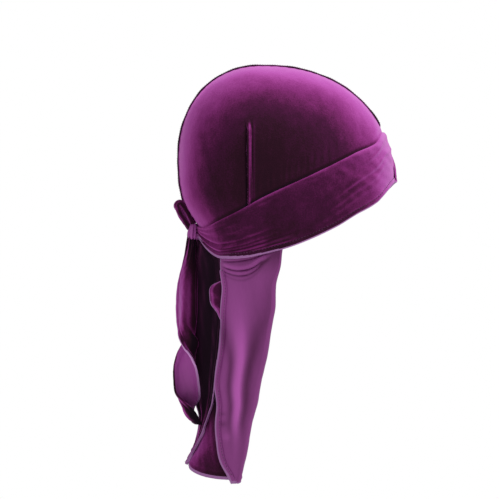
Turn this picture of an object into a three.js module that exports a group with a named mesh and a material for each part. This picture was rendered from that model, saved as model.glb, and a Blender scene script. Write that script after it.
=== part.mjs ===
// A velvet durag as it is worn: a two-panel crown with an outside centre seam, two wide straps
// that wrap the forehead and tie at the nape, the knot with its loop, the two strap tails,
// and the long neck flap, whose side edges are turned back so that the smooth reverse shows.
// Millimetres. +X is the wearer's front, +Y the wearer's left, +Z up.
// The origin is the middle of the head opening, where the head sits.
import * as THREE from "three";

// Head and crown
const crownHeight = 134.5; // from the origin up to the top of the crown
const frontReach = 96; // from the origin to the forehead
const backReach = 104; // from the origin to the back of the head
const crownHalfBreadth = 76; // widest half breadth, above the ears
const topBehindOrigin = 26; // the highest point lies this far behind the origin
const frontLevel = 24; // height where the crown reaches furthest forward
const backLevel = 46; // height where the crown is widest to the back and the sides
const skirtDrop = 91; // from backLevel down to the lowest level of the nape table
const frontRoundness = 2.2; // exponents of the upright and the level outlines
const backRoundness = 2.2;
const levelRoundness = 2.15;

// Cloth
const crownThickness = 1.6;
const strapThickness = 1.6;
const flapThickness = 1.2;
const tailThickness = 1.4;
const layerGap = 0.6; // between layers of cloth that lie on each other
const seatGap = 0.35; // between pieces that meet end to end

// Centre seam and side pleats
const seamThickness = 1.6;
const seamStand = 2; // how far the seam allowance stands off the crown
const seamFade = 7; // the length over which it is pressed down under the straps and the knot
const pleatWidth = 4.5;
const pleatStand = 1.2;
const pleatTop = 80; // height where the pleat runs out
const pleatFade = 14; // the length over which it runs out
const pleatBehindOrigin = 39;

// Straps
const strapWidth = 52; // across the widest part of the strap on the head
const creaseStand = 1.1; // how far the lengthwise creases stand up
const strapFlare = 2.3; // the lower edge is lifted this far where the flap is tucked under it
const rimCover = 6; // the strap hangs this far below the crown's rim
const tuckDepth = 4; // the turned-back flap reaches this far up under the strap
const crossingPast = 0.5; // the right strap's hidden end, in radians past the middle of the forehead
const strapEndHeight = 11; // the strap's gathered width at the knot

// Knot and loop
const knotLevel = -16; // height on the nape where the knot rests
const knotRadius = 6;
const knotHalfLength = 10;
const loopLength = 27;
const loopHalfDepth = 4.4;
const loopWidth = 18;
const loopThickness = 2;
const loopTilt = 52; // degrees above level, pointing back

// Neck flap
const flapLength = 222; // from the strap's lower edge beside the ear down to the tip
const flapDepth = 76; // from the nape forward to the turned edge
const flapHalfSpread = 66; // half its width across the neck, at the top
const flapBehindNape = 4.5; // the flap's depth is measured from this far behind the crown's rim
const flapTurn = 3.6; // radius of the turned side edge
const flapRipple = 1.5; // height of the soft folds in the turned-back part
const slungReach = 30; // how far below the strap the slung folds of the turned-back part run
const slungSpacing = 8.5; // from one of them to the next
const slungSag = 14; // how far the middle of such a fold hangs below its ends
const slungRise = 5; // below the strap, where the first of them has its full height
const wingBelly = 5; // how far the turned-back part swells outward between its edges
const flapBulge = 4; // height of the short fold in the base behind the right hem
const turnedEdgePlace = 0.455; // places round the head, from the forehead (0) to the nape (1)
const turnedHemPlace = 0.665;

// Strap tails
const outerTailLength = 174;
const innerTailLength = 207;
const tailWidth = 22;
const tailSway = 12;

// Shape of the crown below backLevel: drop is the share of skirtDrop, the others scale each reach.
const NAPE = [
  { drop: 0, back: 1, side: 1, front: 1 },
  { drop: 0.2, back: 0.985, side: 0.995, front: 1 },
  { drop: 0.31, back: 0.965, side: 0.985, front: 0.99 },
  { drop: 0.42, back: 0.935, side: 0.97, front: 0.985 },
  { drop: 0.54, back: 0.865, side: 0.945, front: 0.98 },
  { drop: 0.7, back: 0.74, side: 0.91, front: 0.96 },
  { drop: 0.85, back: 0.66, side: 0.875, front: 0.94 },
  { drop: 1, back: 0.62, side: 0.85, front: 0.92 },
];

// Edges of the wrapped strap seen from the side: along is the share of the crown's length behind
// the forehead, top the height as a share of crownHeight, width a share of strapWidth.
const STRAP_EDGES = [
  { along: -0.05, top: 0.6, width: 0.88 },
  { along: 0.0, top: 0.585, width: 0.98 },
  { along: 0.05, top: 0.54, width: 1.07 },
  { along: 0.09, top: 0.457, width: 1.03 },
  { along: 0.18, top: 0.391, width: 1.09 },
  { along: 0.28, top: 0.315, width: 1.14 },
  { along: 0.44, top: 0.2, width: 1.12 },
  { along: 0.6, top: 0.088, width: 1.01 },
  { along: 0.72, top: -0.009, width: 0.85 },
  { along: 0.82, top: -0.082, width: 0.63 },
  { along: 0.87, top: -0.124, width: 0.38 },
  { along: 0.93, top: -0.15, width: 0.2 },
];

// Lengthwise creases of a strap: across is the place between the lower (0) and upper (1) edge,
// width the crease's half width, deep its share of strapFoldDepth, from and to along the crown.
const STRAP_CREASES = [
  { across: 0.1, width: 0.07, deep: 1, from: 0.45, to: 0.95 },
  { across: 0.27, width: 0.07, deep: 0.9, from: 0.5, to: 0.95 },
  { across: 0.45, width: 0.08, deep: 0.6, from: 0.6, to: 0.95 },
  { across: 0.5, width: 0.08, deep: 0.7, from: 0.02, to: 0.35 },
  { across: 0.72, width: 0.08, deep: 0.6, from: -0.05, to: 0.25 },
];

// The neck flap from its top to its tip: down is the share of flapLength; back, fold and hem are
// shares of flapDepth forward of the nape; foldOut and hemOut are shares of flapHalfSpread, and
// turn is the share of flapTurn.
const FLAP = [
  { down: 0.0, back: 0.08, fold: 1.04, hem: 0.237, foldOut: 1.0, hemOut: 0.78, turn: 0.4 },
  { down: 0.05, back: 0.072, fold: 0.992, hem: 0.24, foldOut: 0.98, hemOut: 0.76, turn: 0.5 },
  { down: 0.15, back: 0.06, fold: 0.908, hem: 0.263, foldOut: 0.93, hemOut: 0.77, turn: 0.8 },
  { down: 0.25, back: 0.046, fold: 0.895, hem: 0.243, foldOut: 0.89, hemOut: 0.76, turn: 1 },
  { down: 0.33, back: 0.04, fold: 0.855, hem: 0.237, foldOut: 0.85, hemOut: 0.74, turn: 1 },
  { down: 0.43, back: 0.036, fold: 0.807, hem: 0.213, foldOut: 0.79, hemOut: 0.71, turn: 1 },
  { down: 0.56, back: 0.03, fold: 0.728, hem: 0.163, foldOut: 0.7, hemOut: 0.66, turn: 1 },
  { down: 0.65, back: 0.015, fold: 0.68, hem: 0.195, foldOut: 0.63, hemOut: 0.6, turn: 0.9 },
  { down: 0.74, back: -0.02, fold: 0.609, hem: 0.171, foldOut: 0.56, hemOut: 0.56, turn: 0.8 },
  { down: 0.84, back: -0.105, fold: 0.559, hem: 0.191, foldOut: 0.48, hemOut: 0.5, turn: 0.7 },
  { down: 0.89, back: -0.158, fold: 0.529, hem: 0.225, foldOut: 0.44, hemOut: 0.47, turn: 0.6 },
  { down: 0.945, back: -0.184, fold: 0.495, hem: 0.309, foldOut: 0.4, hemOut: 0.44, turn: 0.5 },
  { down: 1.0, back: -0.17, fold: 0.441, hem: 0.395, foldOut: 0.36, hemOut: 0.4, turn: 0.4 },
];
const flapBackLength = 0.918; // the flap's middle ends at this share of flapLength

// The outer tail hangs free: down is the share of its length, behind and aside are shares of
// tailSway from the knot, width and cup are shares of tailWidth, twist is in degrees.
const OUTER_TAIL = [
  { down: 0.0, behind: 0.15, aside: 0.65, width: 0.36, cup: 0.06, twist: 10 },
  { down: 0.1, behind: 0.28, aside: 0.9, width: 0.5, cup: 0.14, twist: 5 },
  { down: 0.27, behind: 0.6, aside: 1.05, width: 0.74, cup: 0.2, twist: 0 },
  { down: 0.42, behind: 0.72, aside: 1.15, width: 0.82, cup: 0.24, twist: 0 },
  { down: 0.53, behind: 0.56, aside: 1.2, width: 0.88, cup: 0.32, twist: 20 },
  { down: 0.61, behind: 0.34, aside: 1.2, width: 0.95, cup: 0.36, twist: 95 },
  { down: 0.68, behind: 0.58, aside: 1.2, width: 1.05, cup: 0.26, twist: 165 },
  { down: 0.8, behind: 0.58, aside: 1.35, width: 1.04, cup: 0.2, twist: 180 },
  { down: 0.9, behind: 0.42, aside: 1.45, width: 0.85, cup: 0.2, twist: 185 },
  { down: 1.0, behind: 0.02, aside: 1.55, width: 0.4, cup: 0.12, twist: 200 },
];

// The inner tail lies on the flap: from and to are its edges, as shares of the way round the
// base from its middle (0) to the turned edge on the wearer's right (1).
const INNER_TAIL = [
  { down: 0.0, from: -0.07, to: -0.01 },
  { down: 0.12, from: -0.04, to: 0.08 },
  { down: 0.25, from: 0.05, to: 0.3 },
  { down: 0.45, from: 0.12, to: 0.42 },
  { down: 0.62, from: 0.14, to: 0.44 },
  { down: 0.8, from: 0.06, to: 0.34 },
  { down: 0.9, from: -0.04, to: 0.22 },
  { down: 1.0, from: -0.07, to: 0.09 },
];

const lerp = (a, b, t) => a + (b - a) * t;
const clamp = (v, low, high) => Math.min(high, Math.max(low, v));

function smooth(low, high, v) {
  const t = clamp((v - low) / (high - low), 0, 1);
  return t * t * (3 - 2 * t);
}

// A table's column at a place along its first column, by a smooth curve through the rows.
function lookUp(table, column, at) {
  const key = Object.keys(table[0])[0];
  const last = table.length - 1;
  const place = clamp(at, table[0][key], table[last][key]);
  let i = 0;
  while (i < last - 1 && table[i + 1][key] < place) i += 1;
  const slope = (k) => {
    const a = table[Math.max(0, k - 1)];
    const b = table[Math.min(last, k + 1)];
    return (b[column] - a[column]) / (b[key] - a[key]);
  };
  const span = table[i + 1][key] - table[i][key];
  const t = (place - table[i][key]) / span;
  const t2 = t * t;
  const t3 = t2 * t;
  return (
    table[i][column] * (2 * t3 - 3 * t2 + 1) +
    slope(i) * span * (t3 - 2 * t2 + t) +
    table[i + 1][column] * (3 * t2 - 2 * t3) +
    slope(i + 1) * span * (t3 - t2)
  );
}

// The share of its full reach that one side of the crown has at a height.
function reachAt(z, level, roundness, side) {
  if (z >= level) {
    const up = clamp((z - level) / (crownHeight - level), 0, 1);
    return (1 - up ** roundness) ** (1 / roundness);
  }
  return lookUp(NAPE, side, (level - z) / skirtDrop);
}

const signedPower = (v, power) => Math.sign(v) * Math.abs(v) ** power;

// A point of the crown's outer surface: angle is 0 at the forehead and pi at the nape, positive
// on the wearer's right.
function onHead(angle, z) {
  const c = signedPower(Math.cos(angle), 2 / levelRoundness);
  const s = signedPower(Math.sin(angle), 2 / levelRoundness);
  const front = (frontReach + topBehindOrigin) * reachAt(z, frontLevel, frontRoundness, "front");
  const back = (backReach - topBehindOrigin) * reachAt(z, backLevel, backRoundness, "back");
  const side = crownHalfBreadth * reachAt(z, backLevel, backRoundness, "side");
  return new THREE.Vector3(-topBehindOrigin + c * (c > 0 ? front : back), -s * side, z);
}

// The same point moved off the surface.
function offHead(angle, z, offset) {
  const step = 0.01;
  const around = onHead(angle + step, z).sub(onHead(angle - step, z));
  const up = onHead(angle, z + 1).sub(onHead(angle, z - 1));
  return onHead(angle, z).addScaledVector(up.cross(around).normalize(), offset);
}

const alongCrown = (x) => (frontReach - x) / (frontReach + backReach);

function strapEdges(along) {
  const top = lookUp(STRAP_EDGES, "top", along) * crownHeight;
  return { top, bottom: top - lookUp(STRAP_EDGES, "width", along) * strapWidth };
}

// The height on the crown, at an angle, of a line between the strap's lower (0) and upper (1) edge.
function strapHeight(angle, across) {
  let z = 0;
  for (let i = 0; i < 12; i += 1) {
    const { top, bottom } = strapEdges(alongCrown(onHead(angle, z).x));
    z = lerp(z, lerp(bottom, top, across), 0.7);
  }
  return z;
}

// A closed solid from a grid of points: the grid is its outer face and the inner face lies
// thickness behind it. pole says that the first row is one point, keepPlane that the first and
// last points of each row may only move within their own y plane, and stand(i, j) raises a
// point of the outer face.
function clothSolid(grid, thickness, { pole = false, keepPlane = false, stand = () => 0 } = {}) {
  const rows = grid.length;
  const columns = grid[0].length;
  const normalAt = (i, j) => {
    const a = grid[Math.max(0, i - 1)][j];
    const b = grid[Math.min(rows - 1, i + 1)][j];
    const c = grid[i][Math.max(0, j - 1)];
    const d = grid[i][Math.min(columns - 1, j + 1)];
    const n = new THREE.Vector3().subVectors(d, c).cross(new THREE.Vector3().subVectors(b, a));
    if (pole && i === 0) n.set(0, 0, 1);
    if (keepPlane && (j === 0 || j === columns - 1)) n.y = 0;
    return n.normalize();
  };
  const positions = [];
  for (const face of [0, 1]) {
    grid.forEach((row, i) =>
      row.forEach((p, j) => {
        const rise = face === 0 ? stand(i, j) : -thickness;
        positions.push(...p.clone().addScaledVector(normalAt(i, j), rise));
      }),
    );
  }
  const index = [];
  const triangle = (a, b, c) => {
    if (a !== b && b !== c && c !== a) index.push(a, b, c);
  };
  const quad = (a, b, c, d) => {
    triangle(a, b, c);
    triangle(a, c, d);
  };
  const at = (face, i, j) => (face * rows + i) * columns + (pole && i === 0 ? 0 : j);
  const [lastRow, lastColumn] = [rows - 1, columns - 1];
  for (let i = 0; i < lastRow; i += 1) {
    for (let j = 0; j < lastColumn; j += 1) {
      quad(at(0, i, j), at(0, i + 1, j), at(0, i + 1, j + 1), at(0, i, j + 1));
      quad(at(1, i, j), at(1, i, j + 1), at(1, i + 1, j + 1), at(1, i + 1, j));
    }
    quad(at(0, i, 0), at(1, i, 0), at(1, i + 1, 0), at(0, i + 1, 0));
    quad(at(0, i, lastColumn), at(0, i + 1, lastColumn), at(1, i + 1, lastColumn), at(1, i, lastColumn));
  }
  for (let j = 0; j < lastColumn; j += 1) {
    if (!pole) quad(at(0, 0, j), at(0, 0, j + 1), at(1, 0, j + 1), at(1, 0, j));
    quad(at(0, lastRow, j), at(1, lastRow, j), at(1, lastRow, j + 1), at(0, lastRow, j + 1));
  }
  return closedGeometry(positions, index);
}

// Points and triangles as a geometry whose faces point out, without the points no face uses.
function closedGeometry(positions, index) {
  const p = (i) => new THREE.Vector3().fromArray(positions, 3 * i);
  let volume = 0;
  for (let i = 0; i < index.length; i += 3) {
    volume += p(index[i]).dot(p(index[i + 1]).cross(p(index[i + 2])));
  }
  if (volume < 0) index.reverse();
  const used = [...new Set(index)].sort((a, b) => a - b);
  const renumbered = new Map(used.map((old, i) => [old, i]));
  const kept = used.flatMap((i) => positions.slice(3 * i, 3 * i + 3));
  const geometry = new THREE.BufferGeometry();
  geometry.setAttribute("position", new THREE.Float32BufferAttribute(kept, 3));
  geometry.setIndex(index.map((i) => renumbered.get(i)));
  geometry.computeVertexNormals();
  return geometry;
}

// The same piece on the wearer's left.
function mirrored(geometry) {
  const positions = Array.from(geometry.attributes.position.array);
  for (let i = 1; i < positions.length; i += 3) positions[i] *= -1;
  return closedGeometry(positions, Array.from(geometry.index.array));
}

// The angles round the head at which a crown panel has its columns, three of them on the pleat.
const panelInset = seamThickness / 2 + seatGap;
const pleatShare = (pleatBehindOrigin - topBehindOrigin) / (backReach - topBehindOrigin);
const pleatAngle = Math.acos(-(pleatShare ** (levelRoundness / 2)));

function crownAngles() {
  const steps = 22;
  const halfPleat = pleatWidth / 2 / crownHalfBreadth;
  const even = Array.from({ length: steps + 1 }, (_, i) => (Math.PI * i) / steps);
  const clear = even.filter((a) => Math.abs(a - pleatAngle) > 2.2 * halfPleat);
  return [...clear, pleatAngle - halfPleat, pleatAngle, pleatAngle + halfPleat].sort((a, b) => a - b);
}

const rimHeight = (angle) => strapHeight(angle, 0) + rimCover;

// The pleat fades out at its top and is pressed flat where it passes under the strap.
function pleatAt(z) {
  const edge = strapHeight(pleatAngle, 1);
  return pleatStand * smooth(pleatTop, pleatTop - pleatFade, z) * smooth(edge, edge + pleatFade / 2, z);
}

// The right half of the crown.
function crownPanel() {
  const rows = 15;
  const angles = crownAngles();
  const heights = angles.map((angle) => rimHeight(angle));
  const grid = Array.from({ length: rows + 1 }, (_, i) =>
    angles.map((angle, j) => {
      const fall = 1 - Math.cos(((i / rows) * Math.PI) / 2);
      const p = onHead(angle, lerp(crownHeight, heights[j], fall));
      p.y = Math.min(p.y, 0) - panelInset;
      return p;
    }),
  );
  const middle = angles.indexOf(pleatAngle);
  const stand = (i, j) => (j === middle ? pleatAt(grid[i][j].z) : 0);
  return clothSolid(grid, crownThickness, { pole: true, keepPlane: true, stand });
}

// The seam allowance between the two panels: it stands proud over the top of the head and is
// pressed flush with the crown under the straps and the knot.
function centreSeam() {
  const steps = 44;
  const positions = [];
  const index = [];
  const spine = Array.from({ length: steps + 1 }, (_, i) => {
    const turn = (2 * i) / steps - 1;
    const angle = turn < 0 ? 0 : Math.PI;
    const fall = 1 - Math.cos((Math.abs(turn) * Math.PI) / 2);
    return onHead(angle, lerp(crownHeight, rimHeight(angle), fall));
  });
  spine.forEach((p, i) => {
    const a = spine[Math.max(0, i - 1)];
    const b = spine[Math.min(steps, i + 1)];
    const out = new THREE.Vector3(b.z - a.z, 0, a.x - b.x).normalize();
    const open = (i < steps / 2 ? strapHeight(0, 1) : knotLevel + knotRadius) + seamFade / 7;
    const rise = lerp(-layerGap / 2, seamStand, smooth(open, open + seamFade, p.z));
    for (const [high, y] of [[rise, 1], [rise, -1], [-crownThickness, -1], [-crownThickness, 1]]) {
      positions.push(p.x + out.x * high, (y * seamThickness) / 2, p.z + out.z * high);
    }
    if (i > 0) index.push(...ringBand(4 * (i - 1), 4 * i, 4));
  });
  const end = 4 * steps;
  index.push(0, 1, 2, 0, 2, 3, end, end + 2, end + 1, end, end + 3, end + 2);
  return closedGeometry(positions, index);
}

// The triangles between two rings of points, which start at the given numbers.
function ringBand(first, second, count) {
  const index = [];
  for (let k = 0; k < count; k += 1) {
    const m = (k + 1) % count;
    index.push(first + k, second + k, second + m, first + k, second + m, first + m);
  }
  return index;
}

// The middle of the knot, which rests on the nape.
const knotCentre = offHead(Math.PI, knotLevel, knotRadius + layerGap);

// How far a strap's creases stand up at a place on it.
function creaseAt(along, across) {
  return STRAP_CREASES.reduce((sum, crease) => {
    const near = Math.exp(-(((across - crease.across) / crease.width) ** 2));
    const begun = smooth(crease.from, crease.from + 0.12, along);
    const ended = smooth(crease.to + 0.06, crease.to - 0.06, along);
    return sum + creaseStand * crease.deep * near * begun * ended;
  }, 0);
}

// A strap on the wearer's right, from the knot round the side of the head and over the forehead.
// frontAngle gives where it ends, for each place across it, and lift how far it is raised there.
function strap(frontAngle, lift) {
  const lengthSteps = 36;
  const acrossSteps = 10;
  const knotAngle = 0.93 * Math.PI;
  const gathered = knotCentre.clone().setY(-knotHalfLength - seatGap);
  const grid = Array.from({ length: lengthSteps + 1 }, (_, i) =>
    Array.from({ length: acrossSteps + 1 }, (_, k) => {
      const share = i / lengthSteps;
      const across = k / acrossSteps;
      const angle = lerp(knotAngle, frontAngle(across), share);
      const z = strapHeight(angle, across);
      const along = alongCrown(onHead(angle, z).x);
      const tucked = strapFlare * smooth(0.4, 0.52, along) * smooth(0.42, 0.05, across);
      const risen = tucked + lift(angle) + creaseAt(along, across);
      const p = offHead(angle, z, layerGap + strapThickness + risen);
      const end = gathered.clone().setZ(gathered.z + (across - 0.5) * strapEndHeight);
      return p.lerp(end, smooth(0.16, 0, share));
    }),
  );
  return clothSolid(grid, strapThickness);
}

const rightStrap = () => strap(() => -crossingPast, () => 0);

// The left strap passes over the right one and ends in a slanting edge on the forehead.
function leftStrap() {
  const overlap = crossingPast + 0.22;
  const rise = layerGap + strapThickness;
  const edge = (across) => lerp(-0.1, 0.8 * crossingPast, across);
  return mirrored(strap(edge, (angle) => rise * smooth(overlap + 0.14, overlap, angle)));
}

// The knot: one turn of the strap round the other, as a waisted barrel across the nape.
function knot() {
  const rounds = 12;
  const profile = [new THREE.Vector2(0, -knotHalfLength)];
  for (let i = 0; i <= rounds; i += 1) {
    const t = (2 * i) / rounds - 1;
    const bulge = 0.8 + 0.13 * Math.cos((t * Math.PI) / 2) - 0.07 * Math.cos(3 * Math.PI * t);
    profile.push(new THREE.Vector2(bulge * knotRadius, t * knotHalfLength));
  }
  profile.push(new THREE.Vector2(0, knotHalfLength));
  return new THREE.LatheGeometry(profile, 18);
}

// The short loop of strap that stands up from the knot, drawn along X from its root.
function knotLoop() {
  const steps = 26;
  const positions = [];
  const index = [];
  const middle = (turn) => {
    const out = (1 - Math.cos(turn)) / 2;
    const half = loopHalfDepth * lerp(0.75, 1.1, out) - loopThickness / 2;
    return new THREE.Vector2(out * loopLength, Math.sin(turn) * half);
  };
  for (let i = 0; i < steps; i += 1) {
    const turn = (2 * Math.PI * i) / steps;
    const p = middle(turn);
    const ahead = middle(turn + 0.05).sub(middle(turn - 0.05)).setLength(loopThickness / 2);
    const half = (loopWidth / 2) * lerp(0.5, 1, p.x / loopLength);
    for (const [side, y] of [[1, 1], [1, -1], [-1, -1], [-1, 1]]) {
      positions.push(p.x + ahead.y * side, y * half, p.y - ahead.x * side);
    }
    index.push(...ringBand(4 * i, (4 * (i + 1)) % (4 * steps), 4));
  }
  return closedGeometry(positions, index);
}

// The level outline of the flap at a height.
const flapBackX = onHead(Math.PI, rimHeight(Math.PI)).x - flapBehindNape;
const flapTop = strapHeight(turnedEdgePlace * Math.PI, 0);

function flapOutline(z) {
  const down = clamp((flapTop - z) / flapLength, 0, 1);
  const forward = (column) => flapBackX + lookUp(FLAP, column, down) * flapDepth;
  const out = (column) => lookUp(FLAP, column, down) * flapHalfSpread;
  const turn = lookUp(FLAP, "turn", down) * flapTurn;
  return {
    back: forward("back"),
    fold: forward("fold") - 0.85 * turn,
    hem: forward("hem"),
    foldOut: out("foldOut"),
    hemOut: out("hemOut"),
    turn,
  };
}

// A point of the flap's base, the part next to the neck: around is 0 in the middle of the nape
// and 1 at the turned edge on the wearer's right, and down the share of its height there.
function flapBase(around, down) {
  const w = Math.abs(around);
  const angle = lerp(1, turnedEdgePlace, w) * Math.PI;
  const top = offHead(angle, rimHeight(angle) - seatGap, -flapThickness / 2);
  const turned = (w * Math.PI) / 2;
  const length = lerp(flapBackLength, 0.995, Math.sin(turned) ** 1.3);
  const z = lerp(top.z, flapTop - flapLength * length, down);
  const s = flapOutline(z);
  const depth = s.fold - s.back;
  const hung = new THREE.Vector3(s.fold - depth * Math.cos(turned), -s.foldOut * Math.sin(turned), z);
  const away = hung.clone().sub(new THREE.Vector3(s.fold, 0, z)).normalize();
  const near = Math.exp(-(((around - 0.47) / 0.14) ** 2) - ((down - 0.25) / 0.09) ** 2);
  hung.addScaledVector(away, flapBulge * near);
  const p = top.setZ(z).lerp(hung, smooth(0.03, 0.17, down));
  if (around < 0) p.y *= -1;
  return p;
}

// A point of the turned-back part: around is 0 at the turned edge and 1 at the hem.
function flapWing(around, down) {
  const angle = lerp(turnedEdgePlace, turnedHemPlace, around) * Math.PI;
  const edge = strapHeight(angle, 0);
  const top = offHead(angle, edge + tuckDepth, layerGap + flapThickness / 2);
  const z = lerp(top.z, flapTop - flapLength, down);
  const s = flapOutline(z);
  const belly = wingBelly * Math.sin(Math.PI * around) * smooth(1, 0.6, down);
  const side = lerp(s.foldOut + 2 * s.turn, s.hemOut, around) + belly;
  const hung = new THREE.Vector3(lerp(s.fold, s.hem, around), -side, z);
  const p = top.setZ(z).lerp(hung, smooth(0.03, 0.17, down));
  const drapes = Math.cos(2 * Math.PI * (1.6 * around + 0.25 * down)) * smooth(0.12, 0.3, down);
  const ripple = slungFolds(around, edge - z) + drapes * smooth(1, 0.75, down);
  p.y -= flapRipple * ripple * smooth(0, 0.15, around);
  return p;
}

// The folds that are slung between the turned edge and the hem, just below the strap.
function slungFolds(around, below) {
  const sag = 4 * slungSag * around * (1 - around);
  const wave = 0.8 * Math.cos((2 * Math.PI * (below - sag)) / slungSpacing);
  const begun = smooth(0.2 * slungRise, slungRise, below);
  const ended = smooth(slungReach, 2 * slungSpacing, below);
  return wave * begun * ended;
}

// One row of the flap, from the middle of the nape to the hem on the wearer's right.
function flapRow(down) {
  const [baseSteps, turnSteps, wingSteps] = [8, 3, 7];
  const base = Array.from({ length: baseSteps + 1 }, (_, i) => flapBase(i / baseSteps, down));
  const wing = Array.from({ length: wingSteps + 1 }, (_, i) => flapWing(i / wingSteps, down));
  const [from, to] = [base[baseSteps], wing[0]];
  const middle = from.clone().add(to).multiplyScalar(0.5);
  const ahead = from.clone().sub(base[baseSteps - 1]).setZ(0).setLength(from.distanceTo(to) / 2);
  const turn = [];
  for (let i = 1; i < turnSteps; i += 1) {
    const turned = (Math.PI * i) / turnSteps;
    const p = middle.clone().addScaledVector(from.clone().sub(middle), Math.cos(turned));
    turn.push(p.addScaledVector(ahead, Math.sin(turned)));
  }
  return [...base, ...turn, ...wing];
}

function neckFlap() {
  const downRows = 20;
  const grid = Array.from({ length: downRows + 1 }, (_, i) => {
    const share = i / downRows;
    const half = flapRow(0.4 * share + 0.6 * share ** 1.8);
    const left = half.slice(1).map((p) => p.clone().setY(-p.y));
    return [...left.reverse(), ...half];
  });
  return clothSolid(grid, flapThickness);
}

// The outer tail: a cupped ribbon that hangs free behind the flap and turns over on its way.
function outerTail() {
  const stations = 26;
  const acrossSteps = 6;
  const top = knotCentre.z - knotRadius - seatGap;
  const grid = Array.from({ length: stations + 1 }, (_, i) => {
    const down = i / stations;
    const at = (column) => lookUp(OUTER_TAIL, column, down);
    const turn = THREE.MathUtils.degToRad(at("twist"));
    const across = new THREE.Vector3(Math.cos(turn), Math.sin(turn), 0);
    const out = new THREE.Vector3(Math.sin(turn), -Math.cos(turn), 0);
    const x = knotCentre.x - at("behind") * tailSway;
    const middle = new THREE.Vector3(x, -at("aside") * tailSway, top - down * outerTailLength);
    return Array.from({ length: acrossSteps + 1 }, (_, k) => {
      const s = (2 * k) / acrossSteps - 1;
      return middle
        .clone()
        .addScaledVector(across, (s * at("width") * tailWidth) / 2)
        .addScaledVector(out, (0.5 - s * s) * at("cup") * tailWidth);
    });
  });
  return clothSolid(grid, tailThickness);
}

// The inner tail: it drops from the knot and then lies on the flap's base.
function innerTail() {
  const stations = 24;
  const acrossSteps = 6;
  const top = knotCentre.z - knotRadius - seatGap;
  const knotBehindFlap = flapBase(0, 0).x - knotCentre.x;
  const grid = Array.from({ length: stations + 1 }, (_, i) => {
    const share = i / stations;
    const [from, to] = ["from", "to"].map((edge) => lookUp(INNER_TAIL, edge, share));
    const stand = 2 * layerGap + tailThickness + knotBehindFlap * smooth(0.22, 0, share);
    return Array.from({ length: acrossSteps + 1 }, (_, k) =>
      onFlap(lerp(from, to, k / acrossSteps), top - share * innerTailLength, stand),
    );
  });
  return clothSolid(grid, tailThickness);
}

// A point off the flap's base at a height.
function onFlap(around, z, offset) {
  const low = flapBase(around, 1).z;
  const high = flapBase(around, 0).z;
  const down = clamp((high - z) / (high - low), 0, 1);
  const step = 0.02;
  const across = flapBase(around + step, down).sub(flapBase(around - step, down));
  const [above, below] = [Math.max(0, down - step), Math.min(1, down + step)];
  const along = flapBase(around, below).sub(flapBase(around, above));
  return flapBase(around, down).addScaledVector(along.cross(across).normalize(), offset).setZ(z);
}

const durag = new THREE.Group();

function add(name, geometry, material) {
  const mesh = new THREE.Mesh(geometry, material);
  mesh.name = name;
  durag.add(mesh);
  return mesh;
}

const velvet = new THREE.MeshStandardMaterial({ color: 0x6b2560, roughness: 0.85, metalness: 0 });
const shadedVelvet = new THREE.MeshStandardMaterial({ color: 0x4a1840, roughness: 0.9, metalness: 0 });
const reverse = new THREE.MeshStandardMaterial({ color: 0x8a4390, roughness: 0.6, metalness: 0 });

add("crown_panel_right", crownPanel(), velvet);
add("crown_panel_left", mirrored(crownPanel()), velvet);
add("centre_seam", centreSeam(), shadedVelvet);
add("strap_right", rightStrap(), velvet);
add("strap_left", leftStrap(), velvet);
add("knot", knot(), velvet).position.copy(knotCentre);
add("tail_outer", outerTail(), velvet);
add("tail_inner", innerTail(), shadedVelvet);
add("neck_flap", neckFlap(), reverse);

const loop = add("knot_loop", knotLoop(), velvet);
const loopTurn = THREE.MathUtils.degToRad(180 - loopTilt);
const loopRoot = knotRadius + seatGap + loopThickness / 2;
loop.rotation.y = -loopTurn;
loop.position.set(Math.cos(loopTurn), 0, Math.sin(loopTurn)).multiplyScalar(loopRoot).add(knotCentre);

export default durag;
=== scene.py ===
import math

import bpy
import numpy as np
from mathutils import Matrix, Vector


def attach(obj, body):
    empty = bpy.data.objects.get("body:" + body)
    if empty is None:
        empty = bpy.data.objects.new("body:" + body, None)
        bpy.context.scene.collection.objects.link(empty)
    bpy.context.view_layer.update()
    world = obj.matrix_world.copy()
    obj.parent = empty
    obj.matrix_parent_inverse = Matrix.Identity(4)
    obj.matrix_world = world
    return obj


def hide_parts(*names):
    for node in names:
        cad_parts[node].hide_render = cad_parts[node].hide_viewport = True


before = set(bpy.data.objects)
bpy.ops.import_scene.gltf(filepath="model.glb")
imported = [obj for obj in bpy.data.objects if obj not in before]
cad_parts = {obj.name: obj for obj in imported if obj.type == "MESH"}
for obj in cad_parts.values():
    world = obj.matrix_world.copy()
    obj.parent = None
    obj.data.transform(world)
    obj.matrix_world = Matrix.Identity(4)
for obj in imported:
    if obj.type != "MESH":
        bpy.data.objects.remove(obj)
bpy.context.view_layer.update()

# A velvet durag as it is worn. Sizes are in millimetres and become metres when a mesh is made.
# +X is the wearer's front, +Y the wearer's left and +Z up, so the near side of the main view is -Y.
mm = 0.001
layerGap = 0.6

headShape = {
    "height": 134.5,  # top of the crown above the origin
    "front": 96,  # reach to the forehead
    "back": 104,  # reach to the back of the head
    "halfBreadth": 76,
    "topBehind": 26,  # the highest point lies this far behind the origin
    "frontLevel": 24,
    "backLevel": 46,
    "skirt": 91,  # depth of the part that narrows to the nape
    "roundness": 2.2,
    "levelRoundness": 2.15,
    "nape": {
        "drop": [0, 0.2, 0.31, 0.42, 0.54, 0.7, 0.85, 1],
        "back": [1, 0.985, 0.965, 0.935, 0.865, 0.74, 0.66, 0.62],
        "side": [1, 0.995, 0.985, 0.97, 0.945, 0.91, 0.875, 0.85],
        "front": [1, 1, 0.99, 0.985, 0.98, 0.96, 0.94, 0.92],
    },
}


def lerp(a, b, t):
    return a + (b - a) * t


def smooth(low, high, v):
    t = np.clip((v - low) / (high - low), 0, 1)
    return t * t * (3 - 2 * t)


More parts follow.
